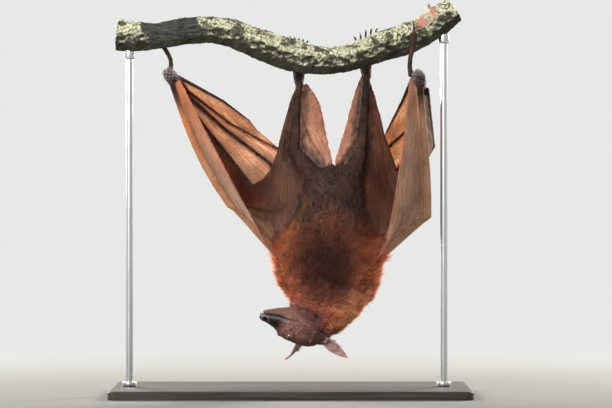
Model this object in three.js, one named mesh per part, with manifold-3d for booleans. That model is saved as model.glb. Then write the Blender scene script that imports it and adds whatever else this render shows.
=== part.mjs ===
// A large fruit bat hanging head down from a short length of branch, life size, on a plain display stand.
// Millimetres, +Z up. The origin is the middle of the stand's underside, and the belly faces -Y.
// "Left" and "right" are the bat's own: with its belly to the viewer and its head down, its left is at -X.

import * as THREE from 'three';
import { mergeVertices } from 'three/addons/utils/BufferGeometryUtils.js';
import Module from 'manifold-3d';

const wasm = await Module();
wasm.setup();

// ---------------------------------------------------------------- driving dimensions

const GAP = 0.4; // clearance between neighbouring pieces
const KNUCKLE = 1.22; // how much thicker a finger is at its joints
const MEMBRANE = 1.0; // thickness of the wing and tail membranes
const BROAD_WEB = 1.2; // the same, for the large web between arm and body
const SMOOTHING = 0.3; // how far a cut surface may be simplified
const FINE_SMOOTHING = 0.1; // the same, for small pieces
const BASE = { width: 500, depth: 230, height: 12, corner: 12 };
const ROD_RADIUS = 5;
const ROD_X = [-226, 214];
const EYE_RADIUS = 5.2;
const EYE_AT = [42, 14.4, 13]; // in the head's own axes: forward, to the side, towards the crown
const EAR = { width: 7.4, thickness: 1.2 };
const EAR_PROFILE = [0.6, 0.84, 1, 0.88, 0.66, 0.38, 0.06]; // share of its width, from root to tip
const TOE_PITCH = 4.6;
const WEB_START = 0.13; // where a web starts, as a share of the finger's first bone
const SCALLOP = 0.34; // four times the share of its length by which a web's hind edge is cut in
const FINGER = { 2: 2.4, 3: 2.9, 4: 2.7, 5: 2.7 }; // thickness of each finger's first bone, by radius

const at = (x, y, z) => new THREE.Vector3(x, y, z);

// The branch, from left to right: where its heart runs and how thick it is.
const BRANCH = [
  { at: at(-244, 2, 504), r: [26, 25] },
  { at: at(-218, 0, 501), r: [25, 25] },
  { at: at(-183, 0, 503), r: [21.5, 21] },
  { at: at(-141, 0, 510), r: [23, 22] },
  { at: at(-106, 0, 511), r: [23, 23] },
  { at: at(-71, 0, 503), r: [24, 24] },
  { at: at(-43, 0, 490), r: [24.5, 25] },
  { at: at(-15, 0, 480), r: [27, 26] },
  { at: at(14, 0, 472), r: [26.5, 26] },
  { at: at(40, 0, 468), r: [23, 23] },
  { at: at(68, 0, 469), r: [22.5, 22] },
  { at: at(97, 0, 477), r: [24, 23] },
  { at: at(118, 0, 486), r: [25, 24] },
  { at: at(153, 0, 495), r: [26.5, 25] },
  { at: at(180, 0, 506), r: [25.5, 25] },
  { at: at(205, 1, 522), r: [25, 24] },
  { at: at(230, 2, 541), r: [22, 22] },
];

// The head's middle and how it is turned: the muzzle points to -X, towards the viewer and a little up.
const HEAD = { at: at(31, 5, 88), turn: 30, lift: 15, roll: 10 };

// Joints of both sides. The pose isn't symmetrical, so each side has its own.
const LEFT = {
  shoulder: at(9, 24, 184),
  elbow: at(-84, 70, 267),
  forearmBow: at(-8.5, 0, -3),
  wrist: at(-169, 24, 446),
  thumb: [at(-170, 22, 456), at(-169, 23, 468), at(-174, 27, 480), at(-182, 29, 492)],
  thumbThickness: [4.2, 3.6, 3.6, 3.8],
  thumbClaw: [at(-182, 29, 491), at(-185, 27, 505), at(-186, 19, 516), at(-186, 11, 520)],
  leadingEdge: [at(-163, 15, 455), at(-128, 2, 385), at(-106, -6, 343), at(-69, -12, 273),
    at(-53, -13, 245), at(-32, -10, 206), at(-8, 0, 178)],
  digits: {
    2: [at(-164, 26, 450), at(-96, 42, 413), at(-60, 52, 387)],
    3: [at(-165, 31, 442), at(-88, 98, 384), at(-6, 104, 340), at(38, 90, 237)],
    4: [at(-167, 33, 438), at(-93, 88, 372), at(-31, 95, 325), at(-2, 92, 266)],
    5: [at(-169, 34, 434), at(-102, 74, 350), at(-77, 68, 319), at(-56, 60, 294)],
  },
  freeEdge: [at(-34, 53, 308), at(-20, 47, 340), at(-8, 36, 392), at(10.5, 27.5, 443)],
  flank: [at(6, 26, 206), at(14, 26, 250), at(30, 28, 288)],
  hip: at(40, 28, 290),
  knee: at(4, 42, 342),
  ankle: at(11, 27, 437),
  tailEdge: [at(20, 27, 440), at(38, 26, 414), at(43, 29, 398), at(50, 33, 364), at(58, 32, 328)],
  toes: { middle: 11, rise: 1.5, spread: 0.9 },
};

const RIGHT = {
  shoulder: at(97, 8, 186),
  elbow: at(191, 46, 250),
  forearmBow: at(2, 0, 0),
  wrist: at(178, -22, 441),
  thumb: [at(167, -26, 446), at(165, -29, 462), at(167, -32, 476), at(170, -34, 488),
    at(170.5, -33, 503)],
  thumbThickness: [4.4, 3.7, 3.7, 4.8, 6],
  thumbClaw: [at(170.5, -33, 500), at(170.5, -30.5, 511), at(170.5, -25, 519), at(170.5, -19, 521)],
  leadingEdge: [at(166, -32, 452), at(161, -36, 400), at(156, -39, 350), at(149, -41, 306),
    at(143, -40, 268), at(136, -36, 232), at(129, -24, 202), at(114, 2, 184)],
  digits: {
    2: [at(168, -18, 442), at(154, 30, 408), at(135, 66, 371)],
    3: [at(170, -14, 437), at(170, 94, 378), at(108, 102, 322), at(76, 90, 230)],
    4: [at(180, -10, 433), at(190, 86, 362), at(150, 97, 312), at(115, 95, 262)],
    5: [at(191, -4, 429), at(203, 66, 350), at(186, 68, 318), at(156, 62, 296)],
  },
  freeEdge: [at(144, 56, 334), at(132, 47, 366), at(123, 37, 404), at(107.5, 27.5, 452)],
  flank: [at(108, 14, 204), at(102, 20, 250), at(88, 26, 288)],
  hip: at(80, 28, 290),
  knee: at(99, 38, 342),
  ankle: at(107, 27, 446),
  tailEdge: [at(100, 27, 450), at(91, 29, 428), at(83, 31, 400), at(74, 33, 368), at(62, 32, 328)],
  toes: { middle: 105, rise: 8, spread: 1.9 },
};

// Trunk and ruff, coat included, from the rump down to the throat: half width by half depth.
const NECK_TOP = 152;
const BODY = [
  { at: at(60, 31, 318), r: [15, 12] },
  { at: at(60, 29, 308), r: [31, 24] },
  { at: at(59, 26, 292), r: [42, 34] },
  { at: at(57, 22, 262), r: [46, 39] },
  { at: at(55, 18, 234), r: [54, 42] },
  { at: at(52.5, 14, 210), r: [69, 42] },
  { at: at(52, 12, 190), r: [77.5, 42] },
  { at: at(53, 10, 170), r: [74.5, 40] },
  { at: at(54, 8, 151), r: [69.5, 37] },
  { at: at(54, 7, 138), r: [63.5, 35] },
  { at: at(53.5, 6, 126), r: [55, 32] },
  { at: at(54, 6, 114), r: [42.5, 28] },
  { at: at(53, 7, 103), r: [30, 23] },
  { at: at(52, 8, 92), r: [22, 18] },
  { at: at(52, 8, 83), r: [13, 12] },
];

// Head sections in its own axes, from the back of the skull to the nose: half width by half height.
const SKULL = [
  { at: at(-12, 0, 0), r: [14, 14] },
  { at: at(-4, 0, 0), r: [20, 20] },
  { at: at(8, 0, 0), r: [24.5, 24] },
  { at: at(21, 0, -1), r: [25, 25] },
  { at: at(34, 0, -2), r: [23.5, 25] },
  { at: at(44, 0, -3), r: [20.5, 24] },
  { at: at(52, 0, -4.5), r: [17, 21] },
  { at: at(60, 0, -5), r: [14.5, 17.5] },
  { at: at(70, 0, -4.5), r: [12.5, 13.8] },
  { at: at(80, 0, -3.5), r: [10.5, 10.6] },
  { at: at(85.5, 0, -1.5), r: [9, 7.8] },
];

// ---------------------------------------------------------------- ways of making shapes

const Y_AXIS = at(0, 1, 0);
const X_AXIS = at(1, 0, 0);

/** Six times the signed volume inside a triangle mesh: negative when its faces point inwards. */
function signedVolume(position, index) {
  let sum = 0;
  const corner = [at(0, 0, 0), at(0, 0, 0), at(0, 0, 0)];
  for (let i = 0; i < index.length; i += 3) {
    corner.forEach((c, k) => c.fromArray(position, 3 * index[i + k]));
    sum += corner[0].dot(corner[1].cross(corner[2]));
  }
  return sum;
}

/** A solid from shared vertices and faces, turned the right way out. */
function solidFrom(position, index) {
  const faces = index.slice();
  if (signedVolume(position, faces) < 0) faces.reverse();
  const mesh = new wasm.Mesh({
    numProp: 3,
    vertProperties: new Float32Array(position),
    triVerts: new Uint32Array(faces),
  });
  return new wasm.Manifold(mesh);
}

/** A solid from one of three's own closed geometries. */
function solidOf(geometry) {
  const bare = geometry.clone();
  bare.deleteAttribute('normal');
  bare.deleteAttribute('uv');
  const merged = mergeVertices(bare, 1e-4);
  return solidFrom(Array.from(merged.attributes.position.array), Array.from(merged.index.array));
}

/** Lofts round sections along a smooth path, with a domed end at each side. */
function tube(stations, { sides = 10, rings = 10, grow = 0, depth = Y_AXIS, dome = 0.6 } = {}) {
  const path = new THREE.CatmullRomCurve3(stations.map((s) => s.at), false, 'centripetal');
  const sizes = new THREE.CatmullRomCurve3(stations.map((s) => at(s.r[0], s.r[1], 0)), false, 'centripetal');
  const position = [];
  const addRing = (centre, along, size, scale) => {
    const across = along.clone().cross(depth).normalize();
    const deep = across.clone().cross(along).normalize();
    for (let k = 0; k < sides; k++) {
      const angle = (2 * Math.PI * k) / sides;
      const p = centre.clone();
      p.addScaledVector(across, Math.cos(angle) * (size.x + grow) * scale);
      p.addScaledVector(deep, Math.sin(angle) * (size.y + grow) * scale);
      position.push(p.x, p.y, p.z);
    }
  };
  const endRing = (t, sign) => {
    const along = path.getTangent(t);
    const size = sizes.getPoint(t);
    const reach = Math.min(size.x, size.y) * dome + grow;
    addRing(path.getPoint(t).addScaledVector(along, sign * reach * 0.6), along, size, 0.72);
    return path.getPoint(t).addScaledVector(along, sign * reach);
  };
  const first = endRing(0, -1);
  for (let i = 0; i <= rings; i++) {
    addRing(path.getPoint(i / rings), path.getTangent(i / rings), sizes.getPoint(i / rings), 1);
  }
  const last = endRing(1, 1);
  const loops = position.length / 3 / sides;
  position.push(first.x, first.y, first.z, last.x, last.y, last.z);
  return solidFrom(position, tubeFaces(loops, sides));
}

/** Faces of a stack of loops, closed by one pole before the first and one after the last. */
function tubeFaces(loops, sides) {
  const faces = [];
  const firstPole = loops * sides;
  for (let k = 0; k < sides; k++) {
    const next = (k + 1) % sides;
    faces.push(firstPole, next, k);
    for (let i = 0; i < loops - 1; i++) {
      const [a, b, c, d] = [i * sides + k, i * sides + next, (i + 1) * sides + k, (i + 1) * sides + next];
      faces.push(a, b, c, b, d, c);
    }
    const end = (loops - 1) * sides;
    faces.push(firstPole + 1, end + k, end + next);
  }
  return faces;
}

/** A curved sheet of even thickness over surface(u, v), with u along it and v across it. */
function sheet(surface, { along = 14, across = 6, thickness = MEMBRANE, grow = 0 } = {}) {
  const front = [];
  const back = [];
  const half = thickness / 2 + grow;
  const step = 0.01;
  for (let i = 0; i <= along; i++) {
    for (let j = 0; j <= across; j++) {
      const [u, v] = [i / along, j / across];
      const du = surface(Math.min(u + step, 1), v).sub(surface(Math.max(u - step, 0), v));
      const dv = surface(u, Math.min(v + step, 1)).sub(surface(u, Math.max(v - step, 0)));
      const normal = du.clone().cross(dv).normalize().multiplyScalar(half);
      const p = surface(u, v);
      p.addScaledVector(du.normalize(), grow * ((i === along) - (i === 0)));
      p.addScaledVector(dv.normalize(), grow * ((j === across) - (j === 0)));
      front.push(p.x + normal.x, p.y + normal.y, p.z + normal.z);
      back.push(p.x - normal.x, p.y - normal.y, p.z - normal.z);
    }
  }
  return solidFrom([...front, ...back], sheetFaces(along, across));
}

/** Faces of two matching grids, front and back, joined by walls round their rim. */
function sheetFaces(along, across) {
  const row = across + 1;
  const count = (along + 1) * row;
  const faces = [];
  for (let i = 0; i < along; i++) {
    for (let j = 0; j < across; j++) {
      const [a, b, c, d] = [i * row + j, i * row + j + 1, (i + 1) * row + j, (i + 1) * row + j + 1];
      faces.push(a, b, c, b, d, c);
      faces.push(count + a, count + c, count + b, count + b, count + c, count + d);
    }
  }
  const rim = [];
  for (let j = 0; j < across; j++) rim.push(j);
  for (let i = 0; i < along; i++) rim.push(i * row + across);
  for (let j = across; j > 0; j--) rim.push(along * row + j);
  for (let i = along; i > 0; i--) rim.push(i * row);
  rim.forEach((a, k) => {
    const b = rim[(k + 1) % rim.length];
    faces.push(a, count + a, b, b, count + a, count + b);
  });
  return faces;
}

/** A straight-sided prism over an outline in the X-Z plane, centred on Y = 0. */
function prism(outline, width) {
  const shape = new THREE.Shape(outline.map(([x, z]) => new THREE.Vector2(x, z)));
  const geometry = new THREE.ExtrudeGeometry(shape, { depth: width, bevelEnabled: false });
  geometry.rotateX(Math.PI / 2).translate(0, width / 2, 0);
  return solidOf(geometry);
}

/** A ball, for eyes, joints and nostrils. */
function ball(centre, radius, detail = 12) {
  const geometry = new THREE.SphereGeometry(radius, detail, detail - 4);
  return solidOf(geometry.translate(centre.x, centre.y, centre.z));
}

/** A path of straight bones: t runs evenly over the joints. */
function bonePath(joints) {
  return (t) => {
    const place = Math.min(Math.max(t, 0), 1) * (joints.length - 1);
    const bone = Math.min(Math.floor(place), joints.length - 2);
    return joints[bone].clone().lerp(joints[bone + 1], place - bone);
  };
}

/** A smooth path through its points: t runs evenly over them. */
function smoothPath(points) {
  const curve = new THREE.CatmullRomCurve3(points, false, 'centripetal');
  return (t) => curve.getPoint(Math.min(Math.max(t, 0), 1));
}

/** A patch between two long edges, straight at its start and closed by an end edge. */
function patch(edgeA, edgeB, end) {
  const [cornerA, cornerB] = [end(0), end(1)];
  return (u, v) => {
    const p = edgeA(u).multiplyScalar(1 - v).addScaledVector(edgeB(u), v);
    p.addScaledVector(end(v), u).addScaledVector(cornerA, -u * (1 - v));
    return p.addScaledVector(cornerB, -u * v);
  };
}

/** Moves two facing edges towards each other, to clear what runs along them. */
function drawnIn(edgeA, edgeB, marginA, marginB) {
  const shifted = (from, to, margin) => (t) => {
    const gap = to(t).sub(from(t));
    const step = Math.min(margin(t), gap.length() * 0.45);
    return from(t).addScaledVector(gap.normalize(), step);
  };
  return [shifted(edgeA, edgeB, marginA), shifted(edgeB, edgeA, marginB)];
}

/** Billows a surface by a half wave both ways. */
const billowed = (surface, push) => (u, v) => {
  const wave = Math.sin(Math.PI * u) * Math.sin(Math.PI * v);
  return surface(u, v).addScaledVector(push, wave);
};

// ---------------------------------------------------------------- the model's register

const bat = new THREE.Group();
const colours = {
  fur: [0x6b2f18, 0.85, 0],
  ruff: [0x8a4220, 0.85, 0],
  face: [0x4a3430, 0.6, 0],
  skin: [0x3a2622, 0.55, 0],
  wing: [0x8a4a2c, 0.5, 0],
  ear: [0x6a4a44, 0.6, 0],
  claw: [0x1c1614, 0.35, 0],
  eye: [0x5a2c10, 0.08, 0],
  bark: [0x8a8474, 0.95, 0],
  stand: [0x2c2a28, 0.5, 0],
  steel: [0x9a9a98, 0.3, 0.9],
};
const placed = []; // every solid so far, each grown by the gap

/** Keeps the largest body of a cut, without slivers. */
function mainBody(solid, smoothing) {
  const largest = (whole) => whole.decompose().sort((a, b) => b.volume() - a.volume())[0];
  return largest(largest(solid).simplify(smoothing));
}

/** Whether two solids' boxes touch. */
function near(a, b) {
  const [p, q] = [a.boundingBox(), b.boundingBox()];
  return [0, 1, 2].every((k) => p.min[k] <= q.max[k] && q.min[k] <= p.max[k]);
}

/** Cuts clearances for all that is already in place, keeps the shape, and hangs its mesh in the model. */
function place(name, finish, shape, smoothing = SMOOTHING) {
  const whole = shape(0);
  const cutters = placed.filter((other) => near(other, whole));
  const solid = mainBody(cutters.reduce((rest, cutter) => rest.subtract(cutter), whole), smoothing);
  placed.push(shape(GAP));
  const { vertProperties, triVerts } = solid.getMesh();
  const geometry = new THREE.BufferGeometry();
  geometry.setAttribute('position', new THREE.BufferAttribute(vertProperties, 3));
  geometry.setIndex(new THREE.BufferAttribute(triVerts, 1));
  geometry.computeBoundingBox();
  const middle = geometry.boundingBox.getCenter(at(0, 0, 0)).round();
  geometry.translate(-middle.x, -middle.y, -middle.z);
  geometry.computeVertexNormals();
  const [color, roughness, metalness] = colours[finish];
  const mesh = new THREE.Mesh(geometry, new THREE.MeshStandardMaterial({ color, roughness, metalness }));
  mesh.name = name;
  mesh.position.copy(middle);
  bat.add(mesh);
}

const tubeOf = (stations, options = {}) => (grow) => tube(stations, { ...options, grow });
const sheetOf = (surface, options = {}) => (grow) => sheet(surface, { ...options, grow });

// ---------------------------------------------------------------- stand and perch

function makePerch() {
  place('perch_branch', 'bark', tubeOf(BRANCH, { sides: 9, rings: 17, dome: 0.12 }));
}

function makeStand() {
  const { width, depth, height, corner } = BASE;
  const [x, y] = [width / 2, depth / 2];
  const plan = new THREE.Shape();
  plan.moveTo(-x + corner, -y);
  plan.lineTo(x - corner, -y);
  plan.absarc(x - corner, -y + corner, corner, -Math.PI / 2, 0);
  plan.absarc(x - corner, y - corner, corner, 0, Math.PI / 2);
  plan.absarc(-x + corner, y - corner, corner, Math.PI / 2, Math.PI);
  plan.absarc(-x + corner, -y + corner, corner, Math.PI, 1.5 * Math.PI);
  const slab = new THREE.ExtrudeGeometry(plan, { depth: height, bevelEnabled: false, curveSegments: 4 });
  place('stand_base', 'stand', () => solidOf(slab), 0);
  ROD_X.forEach((rodX, side) => {
    const bottom = height + GAP;
    const length = 500 - bottom;
    const rod = new THREE.CylinderGeometry(ROD_RADIUS, ROD_RADIUS, length, 14);
    rod.rotateX(Math.PI / 2).translate(rodX, 0, bottom + length / 2);
    place(['stand_rod_left', 'stand_rod_right'][side], 'steel', () => solidOf(rod));
  });
}

// ---------------------------------------------------------------- head

/** The head's axes as a matrix: forward, to its left, towards its crown. */
function headMatrix() {
  const [turn, lift, roll] = [HEAD.turn, HEAD.lift, HEAD.roll].map(THREE.MathUtils.degToRad);
  const forward = at(-Math.cos(lift) * Math.cos(turn), -Math.cos(lift) * Math.sin(turn), Math.sin(lift));
  const down = at(0, 0, -1);
  const crown = down.addScaledVector(forward, -down.dot(forward)).normalize();
  crown.applyAxisAngle(forward, -roll);
  const side = crown.clone().cross(forward).normalize();
  return new THREE.Matrix4().makeBasis(forward, side, crown).setPosition(HEAD.at);
}

const headAxes = headMatrix();
const inHead = (x, y, z) => at(x, y, z).applyMatrix4(headAxes);
const turned = (solid) => solid.transform(headAxes.elements);

/** Skull, muzzle and lower jaw in one, in the head's own axes, with the nostrils' rims and holes. */
function wholeHead(grow) {
  let head = tube(SKULL, { sides: 11, rings: 10, grow, depth: at(0, 0, 1), dome: 0.7 });
  for (const side of [-1, 1]) {
    head = head.add(ball(at(83, side * 5.9, 0.5), 4.6 + grow, 6));
    if (grow > 0) continue;
    const hole = new THREE.CylinderGeometry(2, 1.5, 6, 6);
    hole.rotateZ(-Math.PI / 2).rotateZ(side * 0.76).translate(86.2, side * 8.9, 0.7);
    head = head.subtract(solidOf(hole));
  }
  return head;
}

/** What lies below the mouth line: the lower jaw's side of the head. */
function jawSide(clearance) {
  const line = [[100, -5], [84, -7], [66, -9.5], [48, -8.5], [36, -12], [28, -22], [24, -40], [100, -40]];
  return prism(line.map(([x, z]) => [x - clearance, z + clearance]), 90);
}

function makeEyes() {
  for (const [name, side] of [['eye_left', 1], ['eye_right', -1]]) {
    const centre = inHead(EYE_AT[0], side * EYE_AT[1], EYE_AT[2]);
    place(name, 'eye', (grow) => ball(centre, EYE_RADIUS + grow, 10));
  }
}

function makeHead() {
  const whole = wholeHead(0);
  place('jaw', 'face', (grow) => turned((grow ? wholeHead(grow) : whole).intersect(jawSide(grow))));
  const skull = (grow) => turned(grow ? wholeHead(grow) : whole.subtract(jawSide(GAP)));
  place('head', 'face', skull);
}

/** The value at a share of the way along a list of evenly spaced values. */
function atShare(values, share) {
  const position = share * (values.length - 1);
  const step = Math.min(Math.floor(position), values.length - 2);
  return THREE.MathUtils.lerp(values[step], values[step + 1], position - step);
}

/** An ear: a leaf rolled into a funnel at its root and opening towards its tip. */
function earSurface(root, tip, opening) {
  const along = tip.clone().sub(root).normalize();
  const length = tip.distanceTo(root);
  const mouth = opening.clone().addScaledVector(along, -opening.dot(along)).normalize();
  const across = along.clone().cross(mouth);
  return (u, v) => {
    const half = EAR.width * atShare(EAR_PROFILE, u);
    const bend = THREE.MathUtils.lerp(1.9, 0.5, Math.sqrt(u));
    const angle = (2 * v - 1) * bend;
    const radius = half / Math.sin(Math.min(bend, Math.PI / 2));
    const p = root.clone().addScaledVector(along, length * u);
    p.addScaledVector(across, radius * Math.sin(angle));
    return p.addScaledVector(mouth, -radius * (Math.cos(angle) - 0.4));
  };
}

function makeEars() {
  const ears = [
    ['ear_right', inHead(-9, -21, 6), at(79, -22, 53), at(-0.3, -1, 0.1)],
    ['ear_left', inHead(6, 18, 16), at(-9, 22, 49), at(-0.84, 0.1, 0.54)],
  ];
  for (const [name, root, tip, opening] of ears) {
    const surface = earSurface(root, tip, opening);
    const shape = sheetOf(surface, { along: 7, across: 5, thickness: EAR.thickness });
    place(name, 'ear', shape);
  }
}

// ---------------------------------------------------------------- trunk, legs and feet

/** Trunk and neck: one furry body, parted level where the ruff begins. */
function makeTrunk() {
  const body = (grow) => tube(BODY, { sides: 13, rings: 16, grow, dome: 0.35 });
  const below = (z) => solidOf(new THREE.BoxGeometry(300, 300, 200).translate(50, 0, z - 100));
  place('neck', 'ruff', (grow) => body(grow).intersect(below(NECK_TOP + grow)));
  place('trunk', 'fur', (grow) => body(grow).subtract(below(NECK_TOP + GAP - grow)));
}

/** A bone-straight limb from joint to joint, thickest where told. */
const limb = (from, to, sizes) => sizes.map((r, i) => ({
  at: from.clone().lerp(to, i / (sizes.length - 1)),
  r: [].concat(r, r).slice(0, 2),
}));

/** Height of the bark's top at x, found along the branch. */
function barkTop(x) {
  const heart = new THREE.CatmullRomCurve3(BRANCH.map((s) => s.at), false, 'centripetal');
  const size = new THREE.CatmullRomCurve3(BRANCH.map((s) => at(...s.r, 0)), false, 'centripetal');
  const steps = 400;
  let t = 0;
  while (t < 1 && heart.getPoint(t).x < x) t += 1 / steps;
  return heart.getPoint(t).z + size.getPoint(t).y;
}

/** One toe and its claw: from the instep, behind the branch, up and over the bark's top. */
function toeLine(leg, index) {
  const { middle, rise, spread } = leg.toes;
  const off = index - 2;
  const root = middle + off * TOE_PITCH;
  const lean = off * spread;
  const top = barkTop(root + lean);
  const crest = rise * (1 - 0.22 * Math.abs(off));
  return {
    toe: [at(root, 32, barkTop(middle) - 27), at(root + lean * 0.6, 32, top - 13),
      at(root + lean, 25, top - 3)],
    claw: [at(root + lean, 26.5, top - 5), at(root + lean * 1.5, 19, top + 1 + crest * 0.6),
      at(root + lean * 2, 11, top + crest), at(root + lean * 2.3, 3, top + 0.5 * crest)],
  };
}

const CLAW_RADII = [[2.1, 2.1], [1.7, 2], [1.2, 1.5], [0.5, 0.6]];
const TOE_RADII = [[3, 3], [2.5, 2.5], [2.3, 2.3]];
const TOE_SHAPE = { sides: 4, rings: 2, depth: X_AXIS };
const stationsOf = (points, radii) => points.map((p, i) => ({ at: p, r: radii[i] }));

function makeFoot(side, leg) {
  const lines = [0, 1, 2, 3, 4].map((index) => toeLine(leg, index));
  lines.forEach(({ claw }, index) => {
    const shape = tubeOf(stationsOf(claw, CLAW_RADII), { sides: 4, rings: 4, depth: X_AXIS });
    place(`claw_${side}_${index + 1}`, 'claw', shape);
  });
  const { middle } = leg.toes;
  const sole = [
    { at: leg.ankle.clone(), r: [6.5, 6] },
    { at: at(middle, 30, leg.ankle.z + 14), r: [9, 5.5] },
    { at: at(middle, 32.5, barkTop(middle) - 27), r: [11, 4] },
  ];
  const foot = (grow) => {
    const toes = lines.map(({ toe }) => tubeOf(stationsOf(toe, TOE_RADII), TOE_SHAPE));
    return toes.reduce((body, toe) => body.add(toe(grow)), tube(sole, { sides: 6, rings: 3, grow }));
  };
  place(`foot_${side}`, 'skin', foot, SMOOTHING / 2);
}

function makeLeg(side, leg) {
  makeFoot(side, leg);
  const shin = limb(leg.knee, leg.ankle, [[9.5, 9], [7.2, 7], [5.4, 5.2], [5, 5]]);
  const thigh = limb(leg.hip, leg.knee, [[20, 20], [16, 16], [11, 11]]);
  place(`shin_${side}`, 'skin', tubeOf(shin, { sides: 6, rings: 4 }));
  place(`thigh_${side}`, 'fur', tubeOf(thigh, { sides: 8, rings: 3 }));
}

// ---------------------------------------------------------------- wings

/** A finger thins evenly from its root to 0.38 of its thickness at the tip. */
const fingerRadius = (thickness, t) => thickness * (1 - 0.62 * t);

/** A finger: straight bones with a knuckle at each joint, thinning to its tip. */
function finger(joints, thickness) {
  const stations = [];
  const bones = joints.length - 1;
  for (let bone = 0; bone < bones; bone++) {
    const [from, to] = [joints[bone], joints[bone + 1]];
    const thick = (t) => fingerRadius(thickness, (bone + t) / bones);
    const knuckle = bone > 0 ? KNUCKLE : 1;
    stations.push({ at: from.clone(), r: [thick(0) * knuckle, thick(0) * knuckle] });
    for (const t of [0.08, 0.5, 0.92]) {
      stations.push({ at: from.clone().lerp(to, t), r: [thick(t), thick(t)] });
    }
  }
  stations.push({ at: joints[bones].clone(), r: Array(2).fill(fingerRadius(thickness, 1)) });
  return tubeOf(stations, { sides: 4, rings: stations.length - 1 });
}

/** The wrist and palm: a flat block that the fingers fan out of. */
function palm(wing) {
  const middle = wing.digits[4][0].clone().lerp(wing.digits[4][1], 0.17);
  const behind = wing.wrist.clone().lerp(middle, -0.35);
  return tubeOf([
    { at: behind, r: [7, 7] },
    { at: wing.wrist.clone(), r: [9.5, 9] },
    { at: middle, r: [8.5, 6.5] },
  ], { sides: 7, rings: 4 });
}

function makeArm(side, wing) {
  const thumbStations = wing.thumb.map((p, i) => ({ at: p, r: Array(2).fill(wing.thumbThickness[i]) }));
  const clawSizes = [3.6, 3.2, 1.9, 0.6];
  const clawStations = wing.thumbClaw.map((p, i) => ({ at: p, r: Array(2).fill(clawSizes[i]) }));
  const clawShape = tubeOf(clawStations, { sides: 5, rings: 6, depth: X_AXIS });
  place(`thumb_claw_${side}`, 'claw', clawShape, FINE_SMOOTHING);
  const thumbShape = tubeOf(thumbStations, { sides: 6, rings: 5, depth: X_AXIS });
  place(`thumb_${side}`, 'skin', thumbShape, FINE_SMOOTHING);
  place(`hand_${side}`, 'skin', palm(wing));
  const forearm = limb(wing.elbow, wing.wrist, [8.5, 9, 8.5, 7, 6, 5.5, 6]);
  forearm.forEach((s, i) => s.at.addScaledVector(wing.forearmBow, Math.sin((Math.PI * i) / 6)));
  place(`forearm_${side}`, 'skin', tubeOf(forearm, { sides: 7, rings: 6 }));
  const upperArm = limb(wing.shoulder, wing.elbow, [21, 19, 15.5, 12, 9]);
  place(`upper_arm_${side}`, 'fur', tubeOf(upperArm, { sides: 8, rings: 4 }));
}

function makeFingers(side, wing) {
  for (const digit of [2, 3, 4, 5]) {
    place(`digit_${digit}_${side}`, 'skin', finger(wing.digits[digit], FINGER[digit]));
  }
}

/** A finger's line, from a little past its root along the given number of bones. Its knuckles lie at
 * even shares of t, so that they fall on whole steps of a web's grid. */
function fingerLine(joints, bones) {
  const whole = Math.ceil(bones);
  const line = joints.slice(0, whole + 1).map((p) => p.clone());
  line[whole].lerpVectors(joints[whole - 1], joints[whole], bones - whole + 1);
  line[0].lerp(joints[1], WEB_START);
  return bonePath(line);
}

/** How far a web's edge stays from the finger's middle. */
function fingerMargin(joints, digit, bones) {
  const share = bones / (joints.length - 1);
  return (t) => fingerRadius(FINGER[digit], t * share) + 1.2 * GAP;
}

/** The membrane between two fingers, with a scalloped hind edge and one soft fold. */
function handMembrane(wing, digit, bonesA, bonesB, fold) {
  const sides = [[digit, bonesA], [digit + 1, bonesB]];
  const lines = sides.map(([n, bones]) => fingerLine(wing.digits[n], bones));
  const margins = sides.map(([n, bones]) => fingerMargin(wing.digits[n], n, bones));
  const [edgeA, edgeB] = drawnIn(...lines, ...margins);
  return (u, v) => {
    const t = u * (1 - SCALLOP * v * (1 - v));
    const p = edgeA(t).multiplyScalar(1 - v).addScaledVector(edgeB(t), v);
    return p.addScaledVector(fold, Math.sin(Math.PI * v) * Math.sin(Math.PI * Math.min(u * 1.1, 1)));
  };
}

/** How far a web's edge stays from the middle of the arm: the forearm thickens to the elbow. */
const armMargin = (t) => (t < 0.5 ? THREE.MathUtils.lerp(6.4, 9.2, 2 * t) : 3);

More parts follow.
